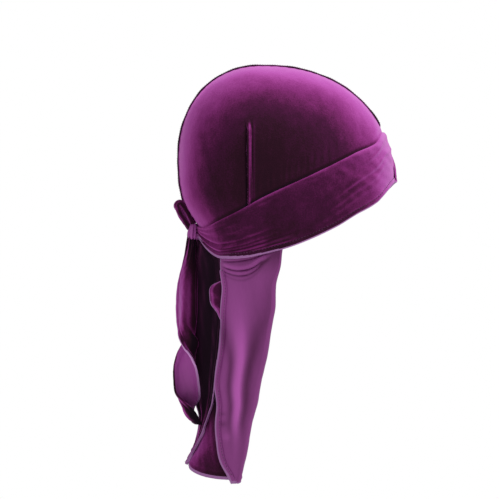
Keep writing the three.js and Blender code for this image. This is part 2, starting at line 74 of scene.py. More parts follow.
def hump(v, middle, width):
    return np.exp(-(((v - middle) / width) ** 2))


# Rounded ridges beside each other, each with its height, middle and width.
def humps(v, ridges):
    return sum(high * hump(v, middle, width) for high, middle, width in ridges)


# A column of a table, read by a smooth curve through its rows.
def lookUp(table, column, at):
    xs = np.array(next(iter(table.values())), float)
    ys = np.array(table[column], float)
    at = np.clip(at, xs[0], xs[-1])
    i = np.clip(np.searchsorted(xs, at, side="right") - 1, 0, len(xs) - 2)
    k = np.arange(len(xs))
    before, after = np.maximum(k - 1, 0), np.minimum(k + 1, len(xs) - 1)
    slope = (ys[after] - ys[before]) / (xs[after] - xs[before])
    span = xs[i + 1] - xs[i]
    t = (at - xs[i]) / span
    rise = slope[i] * (t**3 - 2 * t**2 + t) + slope[i + 1] * (t**3 - t**2)
    return ys[i] * (2 * t**3 - 3 * t**2 + 1) + ys[i + 1] * (3 * t**2 - 2 * t**3) + rise * span


def unit(v):
    return v / np.maximum(np.linalg.norm(v, axis=-1, keepdims=True), 1e-9)


def points(x, y, z):
    return np.stack(np.broadcast_arrays(x, y, z), axis=-1).astype(float)


# A gentle unevenness from -1 to 1: a few waves in random directions.
def unevenness(p, wavelength, seed):
    random = np.random.default_rng(seed)
    total = np.zeros(p.shape[:-1])
    for _ in range(7):
        direction = unit(random.normal(size=3))
        length = wavelength * random.uniform(0.7, 1.5)
        total += np.sin(p @ direction * (2 * math.pi / length) + random.uniform(0, 2 * math.pi))
    return total / 3.2


# Wrinkles of several sizes: the height of each, how it is stretched, its length and its seed.
def wrinkles(p, sizes, seed=0):
    return sum(high * unevenness(p * np.array(s), length, seed + own) for high, s, length, own in sizes)


def reachAt(z, level, side):
    up = np.clip((z - level) / (headShape["height"] - level), 0, 1)
    above = np.maximum(1 - up ** headShape["roundness"], 0) ** (1 / headShape["roundness"])
    below = lookUp(headShape["nape"], side, (level - z) / headShape["skirt"])
    return np.where(z >= level, above, below)


def signedPower(v, power):
    return np.sign(v) * np.abs(v) ** power


# A point of the head's surface: the angle is 0 at the forehead, pi at the nape, positive on the
# wearer's right.
def onHead(angle, z):
    angle, z = np.broadcast_arrays(np.asarray(angle, float), np.asarray(z, float))
    middle, frontLevel, backLevel = (headShape[k] for k in ("topBehind", "frontLevel", "backLevel"))
    c = signedPower(np.cos(angle), 2 / headShape["levelRoundness"])
    s = signedPower(np.sin(angle), 2 / headShape["levelRoundness"])
    front = (headShape["front"] + middle) * reachAt(z, frontLevel, "front")
    back = (headShape["back"] - middle) * reachAt(z, backLevel, "back")
    side = headShape["halfBreadth"] * reachAt(z, backLevel, "side")
    return points(-middle + c * np.where(c > 0, front, back), -s * side, z)


def offHead(angle, z, offset):
    around = onHead(angle + 0.01, z) - onHead(angle - 0.01, z)
    up = onHead(angle, z + 1) - onHead(angle, z - 1)
    return onHead(angle, z) + unit(np.cross(up, around)) * np.asarray(offset)[..., None]


# Normals of a grid of points, outward where its columns run right-handed round what it wraps.
def gridNormals(p):
    return unit(np.cross(np.gradient(p, axis=1), np.gradient(p, axis=0)))


def raised(p, height):
    return p + gridNormals(p) * height[..., None]


def mirrored(p):
    return p[:, ::-1] * np.array([1, -1, 1])


# How far each point of a line lies along it, and values read at other distances.
def wayAlong(line):
    return np.concatenate([[0], np.cumsum(np.linalg.norm(np.diff(line, axis=0), axis=1))])


def readAlong(values, way, s):
    return np.stack([np.interp(s, way, values[:, k]) for k in range(3)], axis=-1)


# Shares from 0 to 1 that lie closer together at both ends.
def endsDense(count, amount):
    t = np.linspace(0, 1, count)
    return lerp(t, t * t * (3 - 2 * t), amount)


# How far each point of a grid lies from its four edges, along the cloth.
def edgeDistances(p):
    alongRow = np.linalg.norm(np.diff(p, axis=1), axis=2)
    alongColumn = np.linalg.norm(np.diff(p, axis=0), axis=2)
    first = np.concatenate([np.zeros((p.shape[0], 1)), np.cumsum(alongRow, axis=1)], axis=1)
    top = np.concatenate([np.zeros((1, p.shape[1])), np.cumsum(alongColumn, axis=0)], axis=0)
    return first, first[:, -1:] - first, top, top[-1:] - top


# The rounded, stitched-down hem along an edge: how high it stands, by the distance from it.
def hemRise(distance, width, high):
    inside = np.clip(distance / width, 0, 1)
    groove = 0.3 * hump(distance, width + 0.5, 0.7)
    return high * np.sin(math.pi * inside) ** 0.7 * (distance < width) - groove


# The rounding of an edge that is folded, as if it had a radius.
def edgeRound(distance, radius):
    q = np.clip(1 - distance / radius, 0, 1)
    return -radius * (1 - np.sqrt(1 - q * q))


# A grid mesh whose rows and columns lie at the given points.
def gridMesh(name, p):
    rows, columns = p.shape[:2]
    bpy.ops.object.select_all(action="DESELECT")
    bpy.ops.mesh.primitive_grid_add(x_subdivisions=columns - 1, y_subdivisions=rows - 1, size=1)
    piece = bpy.context.object
    piece.name = name
    piece.data.name = name
    flat = np.empty(len(piece.data.vertices) * 3)
    piece.data.vertices.foreach_get("co", flat)
    flat = flat.reshape(-1, 3)
    column = np.rint((flat[:, 0] + 0.5) * (columns - 1)).astype(int)
    row = np.rint((flat[:, 1] + 0.5) * (rows - 1)).astype(int)
    piece.data.vertices.foreach_set("co", (p[row, column] * mm).ravel())
    piece.data.update()
    return piece, row, column


def selectOnly(piece):
    bpy.ops.object.select_all(action="DESELECT")
    piece.select_set(True)
    bpy.context.view_layer.objects.active = piece


def useModifier(piece, kind, **values):
    modifier = piece.modifiers.new(kind.title(), kind)
    for key, value in values.items():
        setattr(modifier, key, value)
    selectOnly(piece)
    bpy.ops.object.modifier_apply(modifier=modifier.name)


def smoothShade(piece, degrees):
    selectOnly(piece)
    bpy.ops.object.shade_smooth_by_angle(angle=math.radians(degrees))


def mergeDoubles(piece, outward=False):
    selectOnly(piece)
    bpy.ops.object.mode_set(mode="EDIT")
    bpy.ops.mesh.select_all(action="SELECT")
    bpy.ops.mesh.remove_doubles(threshold=1e-6)
    if outward:
        bpy.ops.mesh.normals_make_consistent(inside=False)
    bpy.ops.object.mode_set(mode="OBJECT")


# Numbers at each point that a finish reads: the first is painted light above 0 and painted shade below 0 on
# the velvet, written as if the pile leant, and the second paints highlights and shade the same way on the
# smooth reverse.
def shadePoints(piece, row, column, size, **shades):
    for name, values in shades.items():
        attribute = piece.data.attributes.new(name, "FLOAT", "POINT")
        values = np.broadcast_to(values, size)[row, column]
        attribute.data.foreach_set("value", values.astype(np.float32))


# A sheet of cloth with its velvet outside and its smooth reverse inside. hem is 0 to 1 at each
# point, thicker where it is 1, and trim is where the hem's own colour shows.
def clothPiece(name, p, cut, lay, lustre=0.0, hem=0.0, trim=None, pole=False, mirror=False):
    size = p.shape[:2]
    lay, lustre, hem = (np.broadcast_to(values, size) for values in (lay, lustre, hem))
    if mirror:
        p, lay, lustre, hem = mirrored(p), lay[:, ::-1], lustre[:, ::-1], hem[:, ::-1]
        trim = None if trim is None else trim[:, ::-1]
    piece, row, column = gridMesh(name, p)
    mesh = piece.data
    for finish in [velvet, reverse] if trim is None else [velvet, reverse, hemFinish, hemFinish]:
        mesh.materials.append(finish)
    if trim is not None:
        corners = np.empty(len(mesh.loops), int)
        mesh.loops.foreach_get("vertex_index", corners)
        quads = corners.reshape(-1, 4)
        trimmed = trim.astype(float)[row[quads], column[quads]].mean(1) > 0.5
        mesh.polygons.foreach_set("material_index", np.where(trimmed, 2, 0).astype(np.int32))
    shadePoints(piece, row, column, size, lay=lay, lustre=lustre)
    group = piece.vertex_groups.new(name="thick")
    levels = np.round(hem[row, column].astype(float), 1)
    for level in np.unique(levels):
        group.add(np.nonzero(levels == level)[0].tolist(), float(level), "REPLACE")
    if pole:
        mergeDoubles(piece)
    hemThickness = cut.get("hemThickness", 1)
    useModifier(
        piece,
        "SOLIDIFY",
        thickness=cut["thickness"] * hemThickness * mm,
        offset=-1,
        vertex_group="thick",
        thickness_vertex_group=1 / hemThickness,
        material_offset=1,
        material_offset_rim=0,
    )
    smoothShade(piece, 55)
    return piece


# A closed surface whose columns wrap round and whose first and last rows close to a point.
def wrappedPiece(name, p, finish, degrees, lay=0.0, lustre=0.0):
    piece, row, column = gridMesh(name, np.concatenate([p, p[:, :1]], axis=1))
    piece.data.materials.append(finish)
    shadePoints(piece, row, column % p.shape[1], p.shape[:2], lay=lay, lustre=lustre)
    mergeDoubles(piece, outward=True)
    smoothShade(piece, degrees)
    return piece


stitch = {
    "rings": 5,
    "sides": 6,
    "arch": 0.55,  # how high its middle stands, in thicknesses
    "hemPitch": 2.9,
    "hemThick": 0.5,
}


# Many short rounded stitches in one mesh, each with its two ends and the way it stands.
def stitchRow(name, start, end, out, thick):
    rings, sides = stitch["rings"], stitch["sides"]
    along = np.linspace(0, 1, rings)
    fat = np.sqrt(np.maximum(1 - (2 * along - 1) ** 4, 0))[None, :, None, None]
    turn = (np.arange(sides) * 2 * math.pi / sides)[None, :, None]
    length = end - start
    side = unit(np.cross(length, out))
    up = unit(np.cross(side, length))
    body = start[:, None] + length[:, None] * along[None, :, None]
    body = body + up[:, None] * (thick * stitch["arch"] * np.sin(math.pi * along))[None, :, None]
    ring = side[:, None, :] * np.cos(turn) + up[:, None, :] * np.sin(turn)
    p = body[:, :, None, :] + ring[:, None, :, :] * fat * thick / 2
    number = np.arange(len(start) * rings * sides).reshape(-1, rings, sides)
    a, b = number[:, :-1], number[:, 1:]
    quads = np.stack([a, np.roll(a, -1, 2), np.roll(b, -1, 2), b], axis=-1).reshape(-1, 4)
    mesh = bpy.data.meshes.new(name)
    mesh.from_pydata((p * mm).reshape(-1, 3).tolist(), [], quads.tolist())
    piece = bpy.data.objects.new(name, mesh)
    bpy.context.scene.collection.objects.link(piece)
    mesh.materials.append(thread)
    mergeDoubles(piece, outward=True)
    smoothShade(piece, 70)
    return piece


# A hem's stitches along a line of points, with the ways they stand.
def hemStitches(name, line, out, share):
    way, pitch = wayAlong(line), stitch["hemPitch"]
    starts = np.arange(pitch, way[-1] - pitch, pitch)
    begin, end = readAlong(line, way, starts), readAlong(line, way, starts + pitch * share)
    return stitchRow(name, begin, end, unit(readAlong(out, way, starts)), stitch["hemThick"])


velvetLook = {
    # A painted sheen: the velvet's colour by how far it is turned from the eye, dark face on (0) and bright
    # edge on (1), and painted shade below 0.
    "turned": [
        (-0.25, (0.0085, 0.0038, 0.0078)),
        (0.0, (0.024, 0.0058, 0.0138)),
        (0.1, (0.046, 0.0068, 0.031)),
        (0.15, (0.064, 0.008, 0.043)),
        (0.22, (0.11, 0.013, 0.077)),
        (0.3, (0.16, 0.019, 0.12)),
        (0.4, (0.215, 0.031, 0.17)),
        (0.5, (0.28, 0.049, 0.235)),
        (0.62, (0.32, 0.066, 0.285)),
        (0.78, (0.36, 0.1, 0.335)),
        (1.0, (0.38, 0.14, 0.365)),
    ],
    # Each noise: how much it shifts that turn, its scale, detail, roughness and stretch.
    "brushed": (0.1, 30, 4, 0.6, (1, 1, 0.6)),
    "crushed": (0.07, 170, 5, 0.65, (1, 1, 0.55)),
    "grain": (0.1, 850, 2, 0.6, (1, 1, 1)),
    "dents": (0.0012, 0.5),  # depth in metres and strength of the brushed bump
    "pile": (0.0003, 0.8),
    "surface": {
        "Roughness": 0.95,
        "Specular IOR Level": 0.04,
        "Sheen Weight": 0.35,
        "Sheen Roughness": 0.35,
        "Sheen Tint": (0.8, 0.12, 0.62, 1),
    },
}
satinLook = {
    "soft": (30, 3, 0.5, (1, 1, 0.35)),
    "ribs": (1.0, 2, 0.6, (260, 26, 1)),  # fine ribs across the width of a sheet
    "ribShare": 0.4,
    "dents": (0.0012, 0.35),
    "ribDepth": (0.00012, 0.7),
    "sheen": {"Sheen Weight": 0.12, "Sheen Roughness": 0.4, "Sheen Tint": (0.9, 0.4, 0.95, 1)},
}
reverseLook = {
    "dark": (0.165, 0.03, 0.142, 1),
    "light": (0.265, 0.053, 0.235, 1),
    "surface": {"Roughness": 0.45, "Specular IOR Level": 0.14},
}
hemLook = {
    "dark": (0.22, 0.085, 0.225, 1),
    "light": (0.36, 0.16, 0.37, 1),
    "surface": {"Roughness": 0.55, "Specular IOR Level": 0.12},
}
threadLook = {
    "colour": np.array((0.06, 0.014, 0.053)),
    "contrast": 0.3,
    "twist": (1400, 2),
    "depth": 0.0002,
}


def plug(tree, socket, value):
    if isinstance(value, bpy.types.NodeSocket):
        tree.links.new(value, socket)
    else:
        socket.default_value = value


def newFinish(name, surface):
    material = bpy.data.materials.new(name)
    material.use_nodes = True
    shader = material.node_tree.nodes["Principled BSDF"]
    for socket, value in surface.items():
        shader.inputs[socket].default_value = value
    return material, material.node_tree, shader.inputs


def noiseNode(tree, source, scale, detail=3.0, roughness=0.5, stretch=(1, 1, 1)):
    mapping = tree.nodes.new("ShaderNodeMapping")
    mapping.inputs["Scale"].default_value = stretch
    tree.links.new(source, mapping.inputs["Vector"])
    noise = tree.nodes.new("ShaderNodeTexNoise")
    for socket, value in (("Scale", scale), ("Detail", detail), ("Roughness", roughness)):
        noise.inputs[socket].default_value = value
    tree.links.new(mapping.outputs["Vector"], noise.inputs["Vector"])
    return noise.outputs["Fac"]


def mixNode(tree, share, a, b, colours=False):
    mix = tree.nodes.new("ShaderNodeMix")
    mix.data_type = "RGBA" if colours else "FLOAT"
    first, result = (6, 2) if colours else (2, 0)
    for socket, value in ((0, share), (first, a), (first + 1, b)):
        plug(tree, mix.inputs[socket], value)
    return mix.outputs[result]


def bumpNode(tree, height, distance, strength=1.0, under=None):
    node = tree.nodes.new("ShaderNodeBump")
    node.inputs["Distance"].default_value = distance
    node.inputs["Strength"].default_value = strength
    tree.links.new(height, node.inputs["Height"])
    if under is not None:
        tree.links.new(under, node.inputs["Normal"])
    return node.outputs["Normal"]


def mathNode(tree, kind, *values):
    node = tree.nodes.new("ShaderNodeMath")
    node.operation = kind
    for socket, value in zip(node.inputs, values):
        plug(tree, socket, value)
    return node.outputs[0]


def attributeNode(tree, name):
    node = tree.nodes.new("ShaderNodeAttribute")
    node.attribute_name = name
    return node.outputs["Fac"]


def velvetMaterial():
    material, tree, inputs = newFinish("velvet", velvetLook["surface"])
    place = tree.nodes.new("ShaderNodeTexCoord").outputs["Object"]
    shifts = [velvetLook[k] for k in ("brushed", "crushed", "grain")]
    noises = [(much, noiseNode(tree, place, *values)) for much, *values in shifts]
    wide = bumpNode(tree, noises[0][1], *velvetLook["dents"])
    tree.links.new(bumpNode(tree, noises[2][1], *velvetLook["pile"], wide), inputs["Normal"])
    # The painted sheen: the turn from the eye, plus the painted light and shade at each point, picks the base
    # colour from the ramp.
    view = tree.nodes.new("ShaderNodeLayerWeight")
    view.inputs["Blend"].default_value = 0.5
    tree.links.new(wide, view.inputs["Normal"])
    turned = mathNode(tree, "ADD", view.outputs["Facing"], attributeNode(tree, "lay"))
    for much, noise in noises:
        turned = mathNode(tree, "ADD", turned, mathNode(tree, "MULTIPLY_ADD", noise, much * 2, -much))
    steps = velvetLook["turned"]
    deepest = steps[0][0]
    share = mathNode(tree, "MULTIPLY_ADD", turned, 1 / (1 - deepest), -deepest / (1 - deepest))
    ramp = tree.nodes.new("ShaderNodeValToRGB")
    while len(ramp.color_ramp.elements) < len(steps):
        ramp.color_ramp.elements.new(0.5)
    for element, (position, colour) in zip(ramp.color_ramp.elements, steps):
        element.position = (position - deepest) / (1 - deepest)
        element.color = (*colour, 1)
    tree.links.new(share, ramp.inputs["Fac"])
    tree.links.new(ramp.outputs["Color"], inputs["Base Color"])
    return material


def satinMaterial(name, look):
    material, tree, inputs = newFinish(name, {**look["surface"], **satinLook["sheen"]})
    coordinates = tree.nodes.new("ShaderNodeTexCoord").outputs
    soft = noiseNode(tree, coordinates["Object"], *satinLook["soft"])
    knit = noiseNode(tree, coordinates["UV"], *satinLook["ribs"])
    mottle = mixNode(tree, satinLook["ribShare"], soft, knit)
    # Painted highlights and shade at each point push the colour towards light or dark.
    mottle = mathNode(tree, "ADD", mottle, attributeNode(tree, "lustre"))
    colour = mixNode(tree, mottle, look["dark"], look["light"], colours=True)
    colour.node.clamp_factor = False
    tree.links.new(colour, inputs["Base Color"])
    wide = bumpNode(tree, soft, *satinLook["dents"])
    tree.links.new(bumpNode(tree, knit, *satinLook["ribDepth"], wide), inputs["Normal"])
    return material


def threadMaterial():
    material, tree, inputs = newFinish("thread", {"Roughness": 0.5})
    place = tree.nodes.new("ShaderNodeTexCoord").outputs["Object"]
    twist = noiseNode(tree, place, *threadLook["twist"])
    dark, light = ((*threadLook["colour"] * (1 + s * threadLook["contrast"]), 1) for s in (-1, 1))
    tree.links.new(mixNode(tree, twist, dark, light, colours=True), inputs["Base Color"])
    tree.links.new(bumpNode(tree, twist, threadLook["depth"]), inputs["Normal"])
    return material


velvet = velvetMaterial()
reverse = satinMaterial("reverse", reverseLook)
hemFinish = satinMaterial("hem", hemLook)
thread = threadMaterial()
print("finishes made")


straps = {
    "width": 52,
    "thickness": 1.6,
    "hemThickness": 1.25,  # of the hem, against the cloth
    "knotAngle": 0.93 * math.pi,
    # The angles at which each begins at the front, at its lower and upper edge. The left one lies
    # on top where they overlap.
    "fronts": {"right": (-0.5, -0.5), "left": (-0.1, 0.4)},
    "overlap": (0.86, 0.72),  # the angles between which the one on top comes down to the head
    "flare": 2.3,  # the lower edge is lifted where the flap is tucked under it
    "hem": 4.8,
    "hemHigh": 0.5,
    "hemRound": 0.9,
    "trim": (1.9, 3.2),  # how much of the hem shows its lilac edge, at the front and at the back
    # A painted highlight on the hem's lilac edge, at the front and at the back.
    "hemHighlight": (1.0, 0.15),
    "stitchShare": 0.66,
    "lay": (0.07, -0.42),  # painted light beside the forehead and painted shade at the knot
    "acrossShading": 0.05,  # painted lighter at the upper edge than at the lower
    # Painted light towards the forehead.
    "foreheadLight": 0.14,
    # A painted highlight on the folded upper edge and painted shade right at the edge.
    "topEdgeShading": [(0.05, 2.6, 1.5), (-0.1, 0, 0.8)],
    "topFold": 2.6,  # radius of the folded upper edge
    "topRoll": [(0.45, 4.2, 2.4)],
    "wrinkles": [(0.45, (0.5, 0.5, 1.3), 26, 0), (0.16, (0.6, 0.6, 1.2), 9, 1)],
    "gathers": 4.4,  # folds across its width, near the knot
    "endHeight": 9,  # its gathered width at the knot
    "endFolds": 3.4,
    "columns": 330,
    "rows": 74,
    "edges": {
        "along": [-0.05, 0, 0.05, 0.09, 0.18, 0.28, 0.44, 0.6, 0.72, 0.82, 0.87, 0.93],
        "top": [0.6, 0.585, 0.54, 0.457, 0.391, 0.315, 0.2, 0.088, -0.009, -0.082, -0.124, -0.15],
        "width": [0.92, 1.02, 1.12, 1.07, 1.1, 1.14, 1.12, 1.01, 0.85, 0.63, 0.38, 0.2],
    },
    # Creases: place across the strap, how that place shifts along it, half width, height, and
    # where along the head they begin and end.
    "creases": [
        (0.15, -0.1, 0.035, 1.1, 0.42, 1.0),
        (0.225, -0.12, 0.03, -0.7, 0.42, 1.0),
        (0.29, -0.18, 0.035, 1.0, 0.5, 1.0),
        (0.38, -0.1, 0.03, -0.5, 0.52, 1.0),
        (0.46, -0.2, 0.05, 0.8, 0.56, 1.0),
        (0.62, -0.1, 0.05, 0.5, 0.6, 1.0),
        (0.76, 0.0, 0.04, 0.5, 0.68, 1.0),
        (0.5, -0.55, 0.05, 0.7, 0.0, 0.34),
        (0.6, -0.7, 0.035, -0.4, 0.02, 0.28),
        (0.68, -0.6, 0.045, 0.8, -0.05, 0.24),
        (0.8, -0.5, 0.03, -0.35, -0.02, 0.2),
        (0.9, -1.1, 0.03, 1.1, 0.02, 0.13),
        (0.35, -0.4, 0.05, 0.5, 0.02, 0.4),
    ],
}
knot = {
    "level": -16,
    "radius": 6,
    "halfLength": 10,
}
nape = np.array(math.pi)
knotCentre = offHead(nape, np.array(float(knot["level"])), np.array(knot["radius"] + layerGap))
tailTop = knotCentre[2] - knot["radius"] + 2


def alongHead(x):
    return (headShape["front"] - x) / (headShape["front"] + headShape["back"])


def strapHeight(angle, across):
    z = np.zeros(np.broadcast(angle, across).shape)
    for _ in range(12):
        along = alongHead(onHead(angle, z)[..., 0])
        top = lookUp(straps["edges"], "top", along) * headShape["height"]
        bottom = top - lookUp(straps["edges"], "width", along) * straps["width"]
        z = lerp(z, lerp(bottom, top, across), 0.7)
    return z


def creaseAt(along, across):
    total = np.zeros(np.broadcast(along, across).shape)
    for place, shift, wide, high, begin, end in straps["creases"]:
        middle = place + shift * (along - begin)
        shown = smooth(begin, begin + 0.1, along) * smooth(end + 0.04, end - 0.08, along)
        total = total + high * hump(across, middle, wide) * shown
    return total


# A strap's cloth, and the line of its hem's stitches with the ways they stand.
def strapPiece(side, onTop, seed):
    share = np.linspace(1, 0, straps["columns"])[None, :]
    across = 1 - endsDense(straps["rows"], 0.6)[:, None]
    angle = lerp(straps["knotAngle"], lerp(*straps["fronts"][side], across), share)
    z = strapHeight(angle, across)
    along = alongHead(onHead(angle, z)[..., 0])
    lift = (layerGap + straps["thickness"]) * (1 + onTop * smooth(*straps["overlap"], angle))
    p = offHead(angle, z, lift + straps["flare"] * smooth(0.4, 0.52, along) * smooth(0.42, 0.05, across))
    _, _, topEdge, bottomEdge = edgeDistances(p)
    cloth = creaseAt(along, across) + wrinkles(p, straps["wrinkles"], seed)
    cloth = cloth * smooth(0, 5, topEdge) * lerp(0.45, 1, smooth(3, 7, bottomEdge))
    cloth = cloth + humps(topEdge, straps["topRoll"]) + edgeRound(topEdge, straps["topFold"])
    cloth = cloth + hemRise(bottomEdge, straps["hem"], straps["hemHigh"])
    cloth = cloth + edgeRound(bottomEdge, straps["hemRound"])
    p = raised(p, cloth + np.sin(2 * math.pi * straps["gathers"] * across + 0.8) * smooth(0.26, 0.04, share))
    end = np.array([knotCentre[0] + 3.2, -0.72 * knot["halfLength"], knotCentre[2]])
    gathered = np.broadcast_to(end, p.shape).copy()
    gathered[..., 2] += (across - 0.5) * straps["endHeight"]
    gathered[..., 1] -= 0.9 * np.cos(2 * math.pi * straps["endFolds"] * across)
    gathered[..., 1] -= 1.2 * np.sin(math.pi * across)
    p = lerp(p, gathered, smooth(0.17, 0, share)[..., None] ** 1.2)
    # Painted shade towards the knot and at the lower edge, painted light at the upper edge and beside the
    # forehead, and a painted highlight on the hem's edge.
    edgeShading = straps["acrossShading"]
    lay = lerp(*straps["lay"], smooth(0.62, 0.95, along)) + humps(topEdge, straps["topEdgeShading"])
    lay = lay + lerp(-edgeShading, edgeShading, across) * smooth(0.95, 0.55, along)
    lay = lay + straps["foreheadLight"] * smooth(74, 90, p[..., 0])
    lustre = lerp(*straps["hemHighlight"], smooth(0.4, 0.6, along)) * smooth(4, 0.5, bottomEdge)
    cloth = clothPiece(
        f"strap_{side}_cloth", p, straps, lay, lustre,
        hem=bottomEdge < straps["hem"],
        trim=bottomEdge < lerp(*straps["trim"], smooth(0.5, 0.82, along)),
        mirror=onTop,
    )
    last = int(0.93 * p.shape[1])
    inside = -straps["hem"] - 0.2
    line = [[np.interp(inside, -bottomEdge[:, j], p[:, j, k]) for k in range(3)] for j in range(last)]
    flip = np.array([1, -1 if onTop else 1, 1])
    return cloth, (np.array(line) * flip, gridNormals(p)[-8, :last] * flip)


strapRight, rightHem = strapPiece("right", False, 11)
strapLeft, leftHem = strapPiece("left", True, 23)
strapRightThread = hemStitches("strap_right_stitches", *rightHem, straps["stitchShare"])
strapLeftThread = hemStitches("strap_left_stitches", *leftHem, straps["stitchShare"])
print("straps made")


crown = {
    "thickness": 1.6,
    "rimCover": 6,
    "columns": 210,
    "rows": 150,
    "seamHalf": 1.15,
    "pucker": 0.3,  # height of the little gathers beside the centre seam
    "puckerPitch": 7.5,
    "wrinkles": [(0.35, (1, 1, 1), 60, 0), (0.1, (1, 1, 1), 17, 1)],
    "lay": (0.0, -0.03),  # painted shade, none at the front and a little at the back
    # Painted light towards the forehead.
    "foreheadLight": 0.2,
    # Painted shade low at the back and further back.
    "lowBackShade": -0.13,
    "backShade": [(-0.05, -86, 11)],
    "strapShadow": [(-0.2, 0.5, 1.7)],  # the shadow along the strap
    "pulled": (0.05, 6.2),  # painted lighter and darker streaks where the strap pulls it: their strength and pitch
}
pleat = {
    "behind": 39,
    "top": 80,
    "high": 2.0,
    "over": 1.5,  # how far its ridge leans back over the crease
    "creases": [(-0.5, -1.3, 1.0), (-0.3, 3.6, 0.8)],
    "second": [(0.2, 5.4, 1.1)],  # the fainter ridge beside it
    # A painted highlight on the ridge and painted shade in its creases.
    "lay": [(0.3, 1.0, 1.0), (-0.25, -1.7, 1.1), (-0.14, 3.4, 0.8), (0.09, 5.2, 1.0)],
    "dense": (4.5, 0.075),  # more columns round it
}
pleatShare = (pleat["behind"] - headShape["topBehind"]) / (headShape["back"] - headShape["topBehind"])
pleatAngle = math.acos(-(pleatShare ** (headShape["levelRoundness"] / 2)))


def rimHeight(angle):
    return strapHeight(angle, 0.0) + crown["rimCover"]


def crownAngles():
    t = np.linspace(0, math.pi, 4000)
    much, wide = pleat["dense"]
    density = 1 + much * hump(t, pleatAngle, wide)
    total = np.concatenate([[0], np.cumsum((density[1:] + density[:-1]) / 2 * np.diff(t))])
    return np.interp(np.linspace(0, total[-1], crown["columns"]), total, t)


# The pleat is a ridge that leans back over a deep crease and dies away towards the front.
def pleatShape(p, strapTop):
    z = p[..., 2]
    s = p[..., 0] + pleat["behind"] + 2.6 * smooth(71, 80, z) - 0.5 * np.sin(z / 11)
    shown = smooth(pleat["top"] + 2, pleat["top"] - 12, z)
    shown = shown * smooth(strapTop - 2, strapTop + 5, z) * (p[..., 1] < -20)
    ridge = smooth(-0.9, 0.4, s) * smooth(5.6, 0.6, s) + humps(s, pleat["second"] + pleat["creases"])
    tugs = 0.07 * np.sin(z * 2 * math.pi / 6.3 + s / 3) * hump(s, 0, 9) + 0.12 * hump(s, 9.5, 2.5)
    return (pleat["high"] * ridge + tugs) * shown, -pleat["over"] * hump(s, 0.5, 0.9) * shown


def crownSurface(angles, strapTop, seed):
    fall = 1 - np.cos(np.linspace(0, 1, crown["rows"]) * math.pi / 2)
    z = lerp(headShape["height"], rimHeight(angles)[None, :], fall[:, None])
    p = onHead(angles[None, :], z)
    fromSeam = np.maximum(-p[..., 1], 0)
    p[..., 1] = np.minimum(p[..., 1], 0) - crown["seamHalf"]
    overTop = np.arctan2(p[..., 2] - 40, p[..., 0] + 10) * 95
    gathers = np.sin(overTop * 2 * math.pi / crown["puckerPitch"] + 2.2 * np.sin(overTop / 23 + seed))
    cloth = 0.8 * np.exp(-fromSeam / 1.5) - 0.35 * hump(fromSeam, 3.6, 1.6)
    cloth = cloth + crown["pucker"] * gathers * np.exp(-fromSeam / 8) * smooth(0, 0.6, fromSeam)
    cloth = cloth + 0.45 * hump(z - strapTop, 6, 4) * smooth(2, 10, fromSeam)
    cloth = cloth * smooth(strapTop - 2, strapTop + 6, z)
    cloth = cloth + wrinkles(p, crown["wrinkles"], seed) * smooth(1, 12, fromSeam)
    pleatUp, pleatOver = pleatShape(p, strapTop)
    normals = gridNormals(p)
    p[..., 0] += pleatOver
    normals[0] = (0, 0, 1)
    normals[:, [0, -1], 1] = 0
    return p + unit(normals) * (cloth + pleatUp)[..., None]


def crownPiece(name, seed, mirror):
    angles = crownAngles()
    strapTop = strapHeight(angles, 1.0)[None, :]
    p = crownSurface(angles, strapTop, seed)
    x, z = p[..., 0], p[..., 2]
    aboveStrap = z - strapTop
    # Painted highlight on the pleat's ridge, painted shade in its creases and along the strap, painted light
    # at the front and painted shade at the back.
    lay = humps(x + pleat["behind"], pleat["lay"]) * smooth(pleat["top"] + 3, pleat["top"] - 6, z)
    lay = lay + lerp(*crown["lay"], smooth(60, -90, x)) + humps(aboveStrap, crown["strapShadow"])
    lay = lay + crown["foreheadLight"] * smooth(75, 88, x)
    lay = lay + crown["lowBackShade"] * smooth(56, 8, z) * smooth(-50, -74, x)
    lay = lay + humps(x, crown["backShade"]) * smooth(20, 50, z)
    much, pitch = crown["pulled"]
    streaks = np.sin(x * 2 * math.pi / pitch + 2 * np.sin(x / 13)) * hump(aboveStrap, 11, 7)
    lay = lay + much * streaks * smooth(-60, -20, x) * smooth(60, 20, x)
    return clothPiece(name, p, crown, lay, pole=True, mirror=mirror)


crownRight = crownPiece("crown_right_cloth", 3, False)
crownLeft = crownPiece("crown_left_cloth", 5, True)


# The centre seam: the two edges stand up together, overlocked along their top.
seam = {
    "stand": 2.3,
    "half": 0.85,
    "steps": 760,
    "profile": [(-1.4, 1), (0, 1), (0.45, 0.96), (0.8, 1.0), (1, 0.55)],  # up and aside, one half
    "pitch": 2.3,
    "thick": 0.42,
    "foot": 0.5,  # the overlock thread runs between these shares of its height
    "head": 0.98,
}


